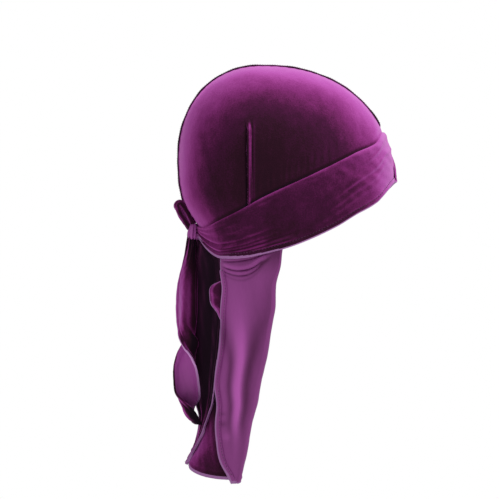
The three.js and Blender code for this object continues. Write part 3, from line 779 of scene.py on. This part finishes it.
def seamPieces():
    turn = np.linspace(-1, 1, seam["steps"])
    angle = np.where(turn < 0, 0.0, math.pi)
    z = lerp(headShape["height"], rimHeight(angle), 1 - np.cos(np.abs(turn) * math.pi / 2))
    spine = onHead(angle, z)
    ahead = np.gradient(spine, axis=0)
    out = unit(points(ahead[:, 2], 0 * turn, -ahead[:, 0]))
    knotTop = knot["level"] + knot["radius"]
    opened = np.where(turn < 0, strapHeight(np.array(0.0), np.array(1.0)), knotTop)
    shown = smooth(opened + 1, opened + 8, spine[:, 2])
    way = wayAlong(spine)
    high = lerp(-0.3, seam["stand"] + 0.18 * np.sin(way / 7.3) + 0.1 * np.sin(way / 2.9), shown)
    lean = (0.35 * np.sin(way / 13 + 1) + 0.2 * np.sin(way / 5.1)) * shown
    closing = np.minimum(1, np.minimum(np.arange(len(way)), np.arange(len(way))[::-1]))
    columns = []
    for up, side in seam["profile"] + [(up, -side) for up, side in seam["profile"][::-1]]:
        rise = np.where(up < 0, up, up * high)
        column = spine + out * (rise * closing)[:, None]
        sway = lean * np.clip(rise / seam["stand"], 0, 1)
        column[:, 1] = (side * seam["half"] + sway) * closing
        columns.append(column)
    fold = wrappedPiece("centre_seam_fold", np.stack(columns, axis=1), velvet, 50)

    def onSeam(s, share, aside):
        p = readAlong(spine, way, s)
        p = p + readAlong(out, way, s) * (share * np.interp(s, way, high))[:, None]
        p[:, 1] += aside + share * np.interp(s, way, lean)
        return p

    pitch, foot, head = seam["pitch"], seam["foot"], seam["head"]
    first, last = np.nonzero(high > 1.2)[0][[0, -1]]
    at = np.arange(way[first] + 1, way[last] - 1, pitch)
    start, end, stand = [], [], []
    for side in (-1, 1):
        aside = side * (seam["half"] + 0.16)
        for shift, low, top in ((0.0, foot, head), (pitch * 0.5, head, foot)):
            start.append(onSeam(at + shift, low, aside))
            end.append(onSeam(at + shift + pitch * 0.45, top, aside))
            stand.append(np.broadcast_to([0.0, side, 0.0], start[-1].shape))
    outward = readAlong(out, way, at)
    start.append(onSeam(at, 1, -seam["half"]) + 0.1 * outward)
    end.append(onSeam(at, 1, seam["half"]) + 0.1 * outward)
    stand.append(outward)
    ends = (np.concatenate(x) for x in (start, end, stand))
    return fold, stitchRow("centre_seam_overlock", *ends, seam["thick"])


seamFin, seamThread = seamPieces()
print("crown made")


# The neck flap: a base next to the neck, velvet outside, whose side edges are turned back so that
# the smooth reverse shows.
flap = {
    "length": 222,
    "depth": 76,
    "halfSpread": 66,
    "behindNape": 4.5,
    "turn": 3.6,  # radius of the turned side edge
    "drawnBack": (3.8, -42, 15),  # how far that edge is drawn back under the strap, at what height
    "thickness": 1.2,
    "hemThickness": 1.8,
    "edgePlace": 0.455,  # places round the head, from the forehead (0) to the nape (1)
    "hemPlace": 0.765,
    "backLength": 0.895,  # shares of its length: in the middle, beside the turned edge and behind
    "edgeLength": 0.97,
    "wingLength": 0.983,
    "tuck": 4,
    "seat": 0.35,
    "inside": (4.0, 2.3),  # how far its top reaches up inside the crown's rim, and inward
    "hangs": (0.03, 0.17),  # the share of the height in which it leaves the head
    "belly": 5,
    "sideHem": 4.6,
    "endHem": 5.5,
    "trim": 1.5,
    "endTrim": 3.4,
    "stitchShare": 0.64,
    "lay": (-0.75, -0.03),  # painted shade, deep at the top and slight at the bottom
    "wrinkles": [(0.5, (1, 1, 0.35), 24, 31), (0.14, (1, 1, 0.5), 8, 32)],
    "slungHigh": 2.0,
    # Creases slung under the strap: how far below it each ends at the hem, how deep it sags and
    # how strong it is.
    "slung": [(2.9, 0.2, 0.8), (7.0, 7.5, 1.0), (10.5, 10.2, 0.8), (13.5, 12.5, 0.3)],
    # Dents beside the hem: height, place and width round it, and place and width down it.
    "dents": [
        (-0.9, 0.78, 0.12, 0.735, 0.014),
        (0.8, 0.66, 0.14, 0.79, 0.018),
        (-0.7, 0.84, 0.1, 0.69, 0.01),
    ],
    "ridge": 3.3,  # height of the long upright fold of the turned-back part
    "upright": {
        "down": [0, 0.12, 0.25, 0.36, 0.48, 0.65, 0.73, 0.8, 0.9],
        "place": [0.75, 0.74, 0.67, 0.57, 0.48, 0.44, 0.4, 0.34, 0.32],
        "high": [0, 0.05, 0.35, 0.8, 1, 0.95, 0.7, 0.2, 0],
        "wide": [0.3, 0.28, 0.22, 0.15, 0.1, 0.095, 0.09, 0.09, 0.09],
    },
    # Painted highlights and shade on the turned-back part: on its long folds, slung folds and dents, darker
    # at the turned edge and lighter at its upper part.
    "lustre": {"long": 2.1, "second": 0.9, "slung": 1.5, "dents": 0.7, "edge": -0.22, "upper": 0.5},
    "strapShade": (0.75, 0.35),  # the shadow under the strap, at the turned edge and at the hem
    "baseColumns": 52,
    "turnColumns": 10,
    "wingColumns": 64,
    "rows": 176,
    "shape": {
        "down": [0, 0.05, 0.15, 0.25, 0.33, 0.43, 0.56, 0.65, 0.74, 0.84, 0.89, 0.945, 1],
        "back": [0.08, 0.072, 0.06, 0.046, 0.04, 0.036, 0.03, 0.03, 0.0, -0.085, -0.16, -0.205, -0.2],
        "fold": [0.97, 0.925, 0.872, 0.865, 0.82, 0.77, 0.69, 0.645, 0.58, 0.53, 0.5, 0.465, 0.41],
        "hem": [0.237, 0.24, 0.263, 0.243, 0.237, 0.213, 0.163, 0.195, 0.171, 0.191, 0.225, 0.309, 0.385],
        "foldOut": [1, 0.98, 0.93, 0.89, 0.85, 0.79, 0.7, 0.63, 0.56, 0.48, 0.44, 0.4, 0.36],
        "hemOut": [0.78, 0.76, 0.77, 0.76, 0.74, 0.71, 0.66, 0.6, 0.56, 0.5, 0.47, 0.44, 0.4],
        "turn": [0.4, 0.5, 0.8, 1, 1, 1, 1, 0.9, 0.8, 0.7, 0.6, 0.5, 0.4],
    },
}
flapBackX = onHead(nape, rimHeight(nape))[0] - flap["behindNape"]
flapTop = float(strapHeight(np.array(flap["edgePlace"] * math.pi), np.array(0.0)))


def flapOutline(z):
    down = np.clip((flapTop - z) / flap["length"], 0, 1)
    read = {column: lookUp(flap["shape"], column, down) for column in flap["shape"]}
    turn = read["turn"] * flap["turn"]
    return {
        "back": flapBackX + read["back"] * flap["depth"],
        "fold": flapBackX + read["fold"] * flap["depth"] - 0.85 * turn,
        "hem": flapBackX + read["hem"] * flap["depth"],
        "foldOut": read["foldOut"] * flap["halfSpread"],
        "hemOut": read["hemOut"] * flap["halfSpread"],
        "turn": turn,
    }


# From its place on the head at the top, a sheet of the flap comes to hang free. nearEdge is 1 at
# the turned edge.
def hungFrom(top, hung, z, down, nearEdge):
    top[..., 2] = z
    p = lerp(top, hung, smooth(*flap["hangs"], down)[..., None])
    far, level, reach = flap["drawnBack"]
    p[..., 0] -= far * hump(z, level, reach) * nearEdge
    return p


# around is 0 in the middle of the nape and 1 at the turned edge, down the share of the height.
def flapBase(around, down):
    around, down = np.broadcast_arrays(around, down)
    w = np.abs(around)
    angle = lerp(1, flap["edgePlace"], w) * math.pi
    inside = smooth(1, 0.82, w) * smooth(0.05, 0, down)
    height, inward = flap["inside"]
    topHeight = rimHeight(angle) - flap["seat"] + height * inside
    top = offHead(angle, topHeight, -flap["thickness"] / 2 - inward * inside)
    turned = w * math.pi / 2
    length = lerp(flap["backLength"], flap["edgeLength"], np.sin(turned) ** 0.65)
    z = lerp(top[..., 2], flapTop - flap["length"] * length, down)
    s = flapOutline(z)
    x = s["fold"] - (s["fold"] - s["back"]) * np.cos(turned)
    hung = points(x, -s["foldOut"] * np.sin(turned), z)
    p = hungFrom(top, hung, z, down, smooth(0.75, 1, w))
    p[..., 1] *= np.where(around < 0, -1, 1)
    return p


# The long soft fold of the turned-back part, and the fainter one beside it.
def uprightFold(around, down):
    place, high, wide = (lookUp(flap["upright"], k, down) for k in ("place", "high", "wide"))
    long = hump(around, place, wide) - 0.55 * hump(around, place - 2.4 * wide, 1.3 * wide)
    long = long - 0.45 * hump(around, place + 2.0 * wide, wide)
    second = 0.3 * hump(around, 0.8, 0.08) * smooth(0.25, 0.42, down) * smooth(0.8, 0.6, down)
    return high * long, second


def flapDents(around, down):
    return sum(high * hump(around, a, wide) * hump(down, d, tall) for high, a, wide, d, tall in flap["dents"])


# The folds slung from the turned edge to the hem, close under the strap's lower edge.
def slungFolds(around, below):
    total = 0 * below
    for atHem, sag, deep in flap["slung"]:
        curve = lerp(1.5, atHem, around) + sag * np.sin(math.pi * around**0.8) ** 0.9
        roll = 0.6 * hump(below, curve - 2.7, 1.8) - hump(below, curve, 1.25)
        total = total + deep * roll * smooth(0.04, 0.16, around) * smooth(0.99, 0.84, around)
    return total * smooth(0.0, 1.2, below)


# The turned-back part and how it shines: around is 0 at the turned edge and 1 at the hem.
def flapWing(around, down):
    angle = lerp(flap["edgePlace"], flap["hemPlace"], around + 0 * down) * math.pi
    edge = strapHeight(angle, 0.0)
    top = offHead(angle, edge + flap["tuck"], layerGap + flap["thickness"] / 2)
    z = lerp(top[..., 2], flapTop - flap["wingLength"] * flap["length"], down)
    s = flapOutline(z)
    belly = flap["belly"] * np.sin(math.pi * around) * smooth(1, 0.6, down)
    side = lerp(s["foldOut"] + 2 * s["turn"], s["hemOut"], around) + belly
    hung = points(lerp(s["fold"], s["hem"], around), -side, z)
    p = hungFrom(top, hung, z, down, smooth(0.4, 0, around))
    slung, dents = slungFolds(around, edge - z), flapDents(around, down)
    long, second = uprightFold(around, down)
    folds = flap["slungHigh"] * slung + flap["ridge"] * (long + second) + dents
    p[..., 1] -= folds * smooth(0, 0.1, around)
    # Painted highlights on the folds and painted shade in their troughs, at the turned edge and under the
    # strap.
    shine = flap["lustre"]
    lustre = shine["long"] * long + shine["second"] * second + shine["edge"] * smooth(0.3, 0.0, around)
    lustre = lustre + shine["upper"] * smooth(0.35, 0.9, around) * smooth(0.36, 0.14, down)
    lustre = lustre - lerp(*flap["strapShade"], around) * smooth(0.13, 0.03, down)
    return p, lustre + shine["slung"] * slung + shine["dents"] * dents


# One half of the flap, from the middle of the nape to the hem of its turned-back part.
def flapHalf():
    down = np.linspace(0, 1, flap["rows"])[:, None] ** 1.25
    base = flapBase(np.linspace(0, 1, flap["baseColumns"])[None, :], down)
    places = np.sort(1 - (1 - np.linspace(0, 1, flap["wingColumns"])) ** 1.18)
    wing, lustre = flapWing(places[None, :], down)
    start, end = base[:, -1], wing[:, 0]
    middle = (start + end) / 2
    ahead = start - base[:, -2]
    ahead[:, 2] = 0
    ahead = unit(ahead) * np.linalg.norm(start - end, axis=1, keepdims=True) / 2
    turned = np.linspace(0, math.pi, flap["turnColumns"] + 2)[1:-1]
    turn = [middle + (start - middle) * math.cos(a) + ahead * math.sin(a) for a in turned]
    lustre = np.pad(lustre, ((0, 0), (base.shape[1] + len(turn), 0)))
    return np.concatenate([base, np.stack(turn, axis=1), wing], axis=1), lustre


def flapPieces():
    half, lustre = flapHalf()
    p = np.concatenate([half[:, ::-1], half[:, 1:] * np.array([1, -1, 1])], axis=1)
    lustre = np.concatenate([lustre[:, ::-1], lustre[:, 1:]], axis=1)
    first, last, top, bottom = edgeDistances(p)
    side = np.minimum(first, last)
    cloth = wrinkles(p, flap["wrinkles"][:1]) * smooth(0, 30, top) + wrinkles(p, flap["wrinkles"][1:])
    wavy = 0.4 * np.sin(top / 12 + 1.3 * np.sin(top / 31)) * smooth(12, 0, side) * smooth(25, 50, top)
    # On the turned-back part the grid's back is what shows, so a hem rises both ways there.
    rise = hemRise(side, flap["sideHem"], 0.3) * -0.6 + hemRise(bottom, flap["endHem"], 0.4)
    p = raised(p, cloth * smooth(0, 8, side) + wavy + rise)
    # The velvet base is painted dark near the top, as shade.
    piece = clothPiece(
        "neck_flap_cloth", p, flap, lerp(*flap["lay"], smooth(-160, -228, p[..., 2])), lustre,
        hem=((side < flap["sideHem"]) | (bottom < flap["endHem"])) * smooth(14, 16, top),
        trim=(side < flap["trim"]) | (bottom < flap["endTrim"]),
    )
    # The hem's stitches show on the turned-back part, at the same distance from both side edges.
    normals = gridNormals(p)
    rows = np.arange(18, flap["rows"] - 4)
    threads = []
    for name, distance in (("left", first), ("right", last)):
        place = np.argmin(np.abs(distance[rows] - flap["sideHem"] + 0.9), axis=1)
        inward = normals[rows, place]
        line = p[rows, place] - inward * (flap["hemThickness"] * flap["thickness"] + 0.05)
        for k in range(3):
            line[3:-3, k] = np.convolve(line[:, k], np.ones(7) / 7, mode="valid")
        threads.append(hemStitches("neck_flap_stitches_" + name, line, -inward, flap["stitchShare"]))
    return piece, threads


flapCloth, flapThreads = flapPieces()

# A fold of the turned-back part that peeks out behind its hem, velvet side out.
tuck = {
    "thickness": 1.0,
    "hemThickness": 1.5,
    "hem": 3.4,
    "trim": 1.0,
    # A little painted light.
    "lay": 0.07,
    "rows": 70,
    "columns": 34,
    "inside": 4.0,  # how far it lies inside the turned-back part
    "shape": {
        "down": [0, 0.08, 0.2, 0.42, 0.6, 0.8, 1],
        "x": [-65.5, -71.8, -74.9, -75.0, -73.2, -67.8, -64.5],
    },
    "height": (-66, -104),
    "front": -58.5,
}


def tuckPiece():
    down = np.linspace(0, 1, tuck["rows"])[:, None]
    k = np.linspace(0, 1, tuck["columns"])[None, :]
    z = lerp(*tuck["height"], down) + 0 * k
    behind = flapOutline(z)
    x = lerp(tuck["front"], lookUp(tuck["shape"], "x", down), k)
    bulge = 1.6 * np.sin(math.pi * np.minimum(1, k * 1.15)) * np.sin(math.pi * down)
    bulge = bulge - 2.2 * smooth(0.75, 1, k) - 1.9 * smooth(0.72, 1, down)
    y = -(lerp(behind["hemOut"], behind["foldOut"], 0.25 * (1 - k)) - tuck["inside"]) - bulge
    p = points(x, y, z)
    p = raised(p, 0.35 * np.sin(down * 19 + 4 * k) * smooth(0, 0.3, k))
    edge = edgeDistances(p)[1]
    return clothPiece(
        "neck_flap_tuck", p, tuck, tuck["lay"], hem=edge < tuck["hem"], trim=edge < tuck["trim"]
    )


flapTuck = tuckPiece()
print("flap made")


# The outer tail hangs free: its section is an arc of cloth, which turns over on its way down.
outerTail = {
    "length": 177,
    "sway": 12,
    "thickness": 1.2,
    "hemThickness": 1.6,
    "hem": 4.4,
    "hemHigh": 0.25,
    "trim": 1.3,
    "trimEnd": 0.55,  # the first edge shows its trim down to this share of the length
    "wrinkles": [(0.45, (1, 1, 0.35), 13, 41), (0.1, (1, 1, 1), 5, 42)],
    "rows": 230,
    "columns": 84,
    # bend is the turn of the arc, in degrees, crease how sharp its middle is (1 is even), twist
    # the way it faces and cloth its width along the arc.
    "shape": {
        "down": [0, 0.1, 0.25, 0.37, 0.45, 0.51, 0.57, 0.63, 0.71, 0.82, 0.87, 0.91, 0.96, 1],
        "behind": [0.1, 0.2, 0.46, 0.54, 0.5, 0.4, 0.3, 0.42, 0.57, 0.53, 0.5, 0.44, 0.1, -0.35],
        "aside": [0.3, 0.75, 1.2, 1.3, 1.3, 1.3, 1.3, 1.3, 1.3, 1.35, 1.4, 1.4, 1.45, 1.5],
        "cloth": [24, 25, 29, 31, 33, 36, 37, 35, 31, 31, 34, 34, 28, 16],
        "bend": [300, 250, 195, 180, 178, 185, 190, 165, 128, 130, 170, 200, 220, 220],
        "crease": [1, 1, 1, 0.9, 0.8, 0.55, 0.42, 0.6, 0.9, 1, 1, 1, 1, 1],
        "twist": [15, 8, 0, -2, 4, 32, 82, 130, 165, 190, 224, 262, 290, 305],
        # Painted light and shade on the velvet, and painted highlights and shade on the reverse where it
        # turns out.
        "lay": [-0.25, -0.1, 0.22, 0.26, 0.16, 0.06, 0.0, -0.1, -0.1, -0.1, -0.16, -0.25, -0.3, -0.3],
        "lustre": [0, 0, 0, 0, 0.3, 1.2, 1.9, 2.0, 1.2, 0.3, -0.4, -0.6, -0.7, -0.7],
    },
}


# Points of a ribbon whose section is an arc: s runs from -1 to 1 across it.
def bentRibbon(middle, turn, bend, crease, cloth, s, ripple):
    heading = bend / 2 * np.sign(s) * np.abs(s) ** crease + ripple
    step = cloth / (s.shape[1] - 1)
    x = np.cumsum(np.cos(heading), axis=1) * step
    y = np.cumsum(np.sin(heading), axis=1) * step
    x = x - (x.max(1) + x.min(1))[:, None] / 2
    y = y - (y.max(1) + y.min(1))[:, None] / 2
    across = points(np.cos(turn), np.sin(turn), 0 * turn)
    out = points(np.sin(turn), -np.cos(turn), 0 * turn)
    return middle + across * x[..., None] - out * y[..., None]


# The rise of a tail's hems along its sides and its end.
def tailHems(tail, side, bottom):
    return hemRise(side, tail["hem"], tail["hemHigh"]) + hemRise(bottom, tail["hem"], tail["hemHigh"])


def outerTailPiece():
    down = np.linspace(0, 1, outerTail["rows"])[:, None]
    read = {column: lookUp(outerTail["shape"], column, down) for column in outerTail["shape"]}
    x = knotCentre[0] - read["behind"] * outerTail["sway"]
    middle = points(x, -read["aside"] * outerTail["sway"], tailTop - down * outerTail["length"])
    s = np.linspace(-1, 1, outerTail["columns"])[None, :]
    ripple = 0.2 * np.sin(7 * s + 3 * down) + 0.9 * smooth(0.2, 0.0, down) * np.sin(19 * s)
    p = bentRibbon(
        middle, np.radians(read["twist"]), np.radians(read["bend"]), read["crease"], read["cloth"],
        s, ripple * smooth(1, 0.7, np.abs(s)),
    )[:, ::-1]
    first, last, topEdge, bottom = edgeDistances(p)
    side = np.minimum(first, last)
    wavy = 0.6 * np.sin(topEdge / 8 + np.sin(topEdge / 17)) * smooth(7, 0, side)
    p = raised(p, wrinkles(p, outerTail["wrinkles"]) + wavy + tailHems(outerTail, side, bottom))
    firstTrim = (first < outerTail["trim"]) & (down < outerTail["trimEnd"])
    # Painted shade on the part of the tail towards the flap.
    return clothPiece(
        "tail_outer_cloth", p, outerTail, read["lay"] - 0.5 * smooth(-96, -88, p[..., 0]), read["lustre"],
        hem=np.minimum(side, bottom) < outerTail["hem"],
        trim=(last < outerTail["trim"]) | firstTrim,
    )


tailOuter = outerTailPiece()

# The inner tail drops from the knot and then lies on the flap.
innerTail = {
    "length": 215,
    "thickness": 1.3,
    "hemThickness": 1.6,
    "hem": 4.4,
    "hemHigh": 0.25,
    "trim": 1.5,
    # Painted shade, deep at the top and slight at the bottom.
    "lay": (-0.75, -0.04),
    "wrinkles": [(0.35, (1, 1, 0.4), 12, 51)],
    "rows": 230,
    "columns": 76,
    # Its back edge and its front edge, as places round the flap, and how much of its distance
    # from the flap at the knot each keeps on the way down.
    "shape": {
        "down": [0, 0.02, 0.05, 0.08, 0.12, 0.25, 0.45, 0.62, 0.72, 0.8, 0.9, 1],
        "from": [-0.07, -0.07, -0.06, -0.06, -0.05, -0.03, 0.02, 0.05, 0.06, 0.08, 0.05, -0.06],
        "to": [0.02, 0.06, 0.2, 0.36, 0.48, 0.52, 0.5, 0.46, 0.42, 0.34, 0.22, 0.07],
        "fromApart": [1, 1, 1, 1, 1, 0.98, 0.95, 0.8, 0.5, 0.12, 0, 0],
        "toApart": [1, 0.45, 0.2, 0.05, 0, 0, 0, 0, 0, 0, 0, 0],
    },
    "offFlap": 1.4,
    "undercut": 1.6,  # how much closer it lies where it goes up under the strap
}


def onFlap(around, z, offset):
    low = flapBase(around, np.array(1.0))[..., 2]
    high = flapBase(around, np.array(0.0))[..., 2]
    down = np.clip((high - z) / (high - low), 0, 1)
    across = flapBase(around + 0.02, down) - flapBase(around - 0.02, down)
    along = flapBase(around, np.minimum(1, down + 0.02)) - flapBase(around, np.maximum(0, down - 0.02))
    p = flapBase(around, down) + unit(np.cross(along, across)) * offset[..., None]
    p[..., 2] = z
    return p


def innerTailPiece():
    share = np.linspace(0, 1, innerTail["rows"])[:, None]
    k = np.linspace(1, 0, innerTail["columns"])[None, :]
    read = {column: lookUp(innerTail["shape"], column, share) for column in innerTail["shape"]}
    around = lerp(read["from"], read["to"], k)
    apart = flapBase(np.array(0.0), np.array(0.0))[0] - knotCentre[0]
    kept = lerp(read["fromApart"], read["toApart"], np.minimum(1, k * 1.5) ** 0.7)
    stand = 2 * layerGap + innerTail["offFlap"] + apart * kept
    underStrap = smooth(0.15, 0.3, k * around + 0.1) * smooth(0.26, 0.14, share)
    folds = 0.7 * np.sin(k * 8 + 2 * share) ** 2 * smooth(0, 0.1, share)
    z = tailTop - share * innerTail["length"] + 0 * k
    p = onFlap(around, z, stand - innerTail["undercut"] * underStrap + folds)
    first, last, topEdge, bottom = edgeDistances(p)
    side = np.minimum(first, last)
    wavy = np.abs(0.5 * np.sin(topEdge / 9) * smooth(6, 0, side))
    p = raised(p, wrinkles(p, innerTail["wrinkles"]) + wavy + tailHems(innerTail, side, bottom))
    edge = np.minimum(side, bottom)
    return clothPiece(
        "tail_inner_cloth", p, innerTail, lerp(*innerTail["lay"], smooth(-165, -225, p[..., 2])),
        hem=edge < innerTail["hem"], trim=edge < innerTail["trim"],
    )


tailInner = innerTailPiece()
print("tails made")


# The knot: the reverse of one strap, wound round the other and gathered above and below.
knotWrap = {
    "rows": 70,
    "columns": 132,
    "folds": 0.077,  # of its radius
    "halfHeight": 7.8,
    "below": 1.2,  # how far its middle lies below the middle of the knot
    # Its reverse is painted lighter all over.
    "lustre": 1.0,
}


def knotSurface():
    t = np.linspace(0, 1, knotWrap["rows"])[:, None]
    turn = np.linspace(0, 2 * math.pi, knotWrap["columns"], endpoint=False)[None, :]
    waist = np.sin(math.pi * t) ** 0.42 * (1 - 0.12 * np.sin(2 * math.pi * t))
    folds = np.sin(turn * 9 + 1.6 * np.sin(3 * t + turn)) + 0.6 * np.sin(turn * 15 + 4 * t)
    swell = waist * (1 + knotWrap["folds"] * folds * waist)
    x = knotCentre[0] + (knot["radius"] - 0.3) * swell * np.cos(turn)
    y = (knot["halfLength"] - 0.4) * swell * np.sin(turn)
    z = knotCentre[2] - knotWrap["below"] + knotWrap["halfHeight"] * np.cos(math.pi * t)
    return points(x, y, z + 0.5 * np.sin(turn * 4) * waist)


knotCloth = wrappedPiece("knot_wrap", knotSurface(), reverse, 65, lustre=knotWrap["lustre"])

# The loop: a bight of folded strap that stands up from the knot and leans on the nape.
loop = {
    "long": 25.5,
    "legs": (2.5, 3.0),  # half the distance of its two legs, at the root and at the end
    "width": 15,
    "thick": 6.2,
    "tilt": 61,
    "rooted": 0.55,  # where it begins inside the knot, of the knot's radius
    "steps": 150,
    "around": 56,
    # A little painted shade.
    "lay": -0.04,
}


def loopSurface():
    turn = np.linspace(0.16, 2 * math.pi - 0.16, loop["steps"])
    out = (1 - np.cos(turn)) / 2
    up = signedPower(np.sin(turn), 0.55) * lerp(*loop["legs"], out)
    middle = points(out * loop["long"], 0, up)
    ahead = unit(np.gradient(middle, axis=0))
    normal = points(ahead[:, 2], 0, -ahead[:, 0])
    section = np.linspace(0, 2 * math.pi, loop["around"], endpoint=False)[None, :]
    flat = signedPower(np.cos(section), 0.75)
    deep = signedPower(np.sin(section), 0.85)
    fromEnd = np.minimum(np.arange(loop["steps"]), np.arange(loop["steps"])[::-1])
    closing = np.sqrt(np.clip(fromEnd / 6, 0, 1))[:, None]
    room = lerp(np.abs(up) + 0.06, loop["thick"], smooth(0.9, 0.98, out))[:, None]  # to the other leg
    turn, out = turn[:, None], out[:, None]
    width = loop["width"] / 2 * lerp(0.42, 1, smooth(0, 0.6, out)) * lerp(1, 0.8, smooth(0.7, 1, out))
    folds = 0.75 * np.cos(flat * 8.5 + 1.5 * np.sin(turn * 1.6)) + 0.35 * np.sin(turn * 5 + flat * 3)
    thick = loop["thick"] / 2 * lerp(0.8, 1, out)
    depth = np.minimum((deep * thick - folds * np.clip(-deep, 0, 1)) * closing, room)
    p = middle[:, None, :] + normal[:, None, :] * depth[..., None]
    p[..., 1] += flat * width * closing * (1 + 0.08 * np.sin(turn * 4))
    tilt = math.radians(loop["tilt"])
    back, rise = p[..., 0] + knot["radius"] * loop["rooted"], p[..., 2]
    return points(
        knotCentre[0] - back * math.cos(tilt) - rise * math.sin(tilt),
        p[..., 1] - 1.0,
        knotCentre[2] + back * math.sin(tilt) - rise * math.cos(tilt),
    )


loopCloth = wrappedPiece("knot_loop_cloth", loopSurface(), velvet, 65, loop["lay"])
print("knot made")

bodyPieces = {
    crownRight: (["crown_panel_right"], "velvet"),
    crownLeft: (["crown_panel_left"], "velvet"),
    seamFin: (["centre_seam"], "seam"),
    seamThread: ([], "seam"),
    strapRight: (["strap_right"], "velvet"),
    strapLeft: (["strap_left"], "velvet"),
    strapRightThread: ([], "seam"),
    strapLeftThread: ([], "seam"),
    flapCloth: (["neck_flap"], "reverse"),
    flapTuck: ([], "velvet"),
    flapThreads[0]: ([], "seam"),
    flapThreads[1]: ([], "seam"),
    tailOuter: (["tail_outer"], "velvet"),
    tailInner: (["tail_inner"], "velvet"),
    knotCloth: (["knot"], "reverse"),
    loopCloth: (["knot_loop"], "velvet"),
}
for piece, (nodes, slot) in bodyPieces.items():
    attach(piece, "root")
    if nodes:
        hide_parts(*nodes)


# The white studio round it, and the camera square on to the wearer's right side.
studio = {
    "backdrop": 1.0,
    "fill": 0.7,
    "floor": -0.42,
    "floorRadius": 1.15,
    "floorColour": (0.72, 0.72, 0.72, 1),
    # Each light: where it stands, where it aims, its power and its size.
    "key": ((0.9, -0.2, 1.78), (0, 0, 0.03), 46, 1.0),
    "side": ((-0.9, -2.2, 0.3), (0, 0, -0.08), 4, 1.2),
    "camera": (-0.0381, -2.4, -0.0371),
    "wide": 0.469,  # how much the view takes in, in metres
}


def areaLight(name, place, aim, power, size):
    light = bpy.data.lights.new(name, "AREA")
    light.energy = power
    light.size = size
    lamp = bpy.data.objects.new(name, light)
    bpy.context.scene.collection.objects.link(lamp)
    lamp.location = place
    lamp.rotation_euler = (Vector(aim) - Vector(place)).to_track_quat("-Z", "Y").to_euler()


areaLight("key", *studio["key"])
areaLight("side", *studio["side"])
world = bpy.data.worlds.new("studio")
bpy.context.scene.world = world
world.use_nodes = True
background = world.node_tree.nodes["Background"].inputs
background["Color"].default_value = (1, 1, 1, 1)
# The backdrop is seen white, and lights the cloth a little less than that.
seen = world.node_tree.nodes.new("ShaderNodeLightPath").outputs["Is Camera Ray"]
strength = mathNode(
    world.node_tree, "MULTIPLY_ADD", seen, studio["backdrop"] - studio["fill"], studio["fill"]
)
world.node_tree.links.new(strength, background["Strength"])

bpy.ops.object.select_all(action="DESELECT")
bpy.ops.mesh.primitive_circle_add(
    vertices=96, radius=studio["floorRadius"], fill_type="NGON", location=(0, 0, studio["floor"])
)
floor = bpy.context.object
floor.name = "floor"
floorLook = {"Base Color": studio["floorColour"], "Roughness": 1.0, "Specular IOR Level": 0.0}
floor.data.materials.append(newFinish("floor", floorLook)[0])

bpy.ops.object.camera_add(location=studio["camera"], rotation=(math.pi / 2, 0, 0))
camera = bpy.context.object
camera.data.sensor_width = 36
camera.data.lens = -camera.data.sensor_width * studio["camera"][1] / studio["wide"]
camera.data.clip_end = 50
bpy.context.scene.camera = camera
bpy.context.scene.view_settings.view_transform = "Standard"
print("studio made")
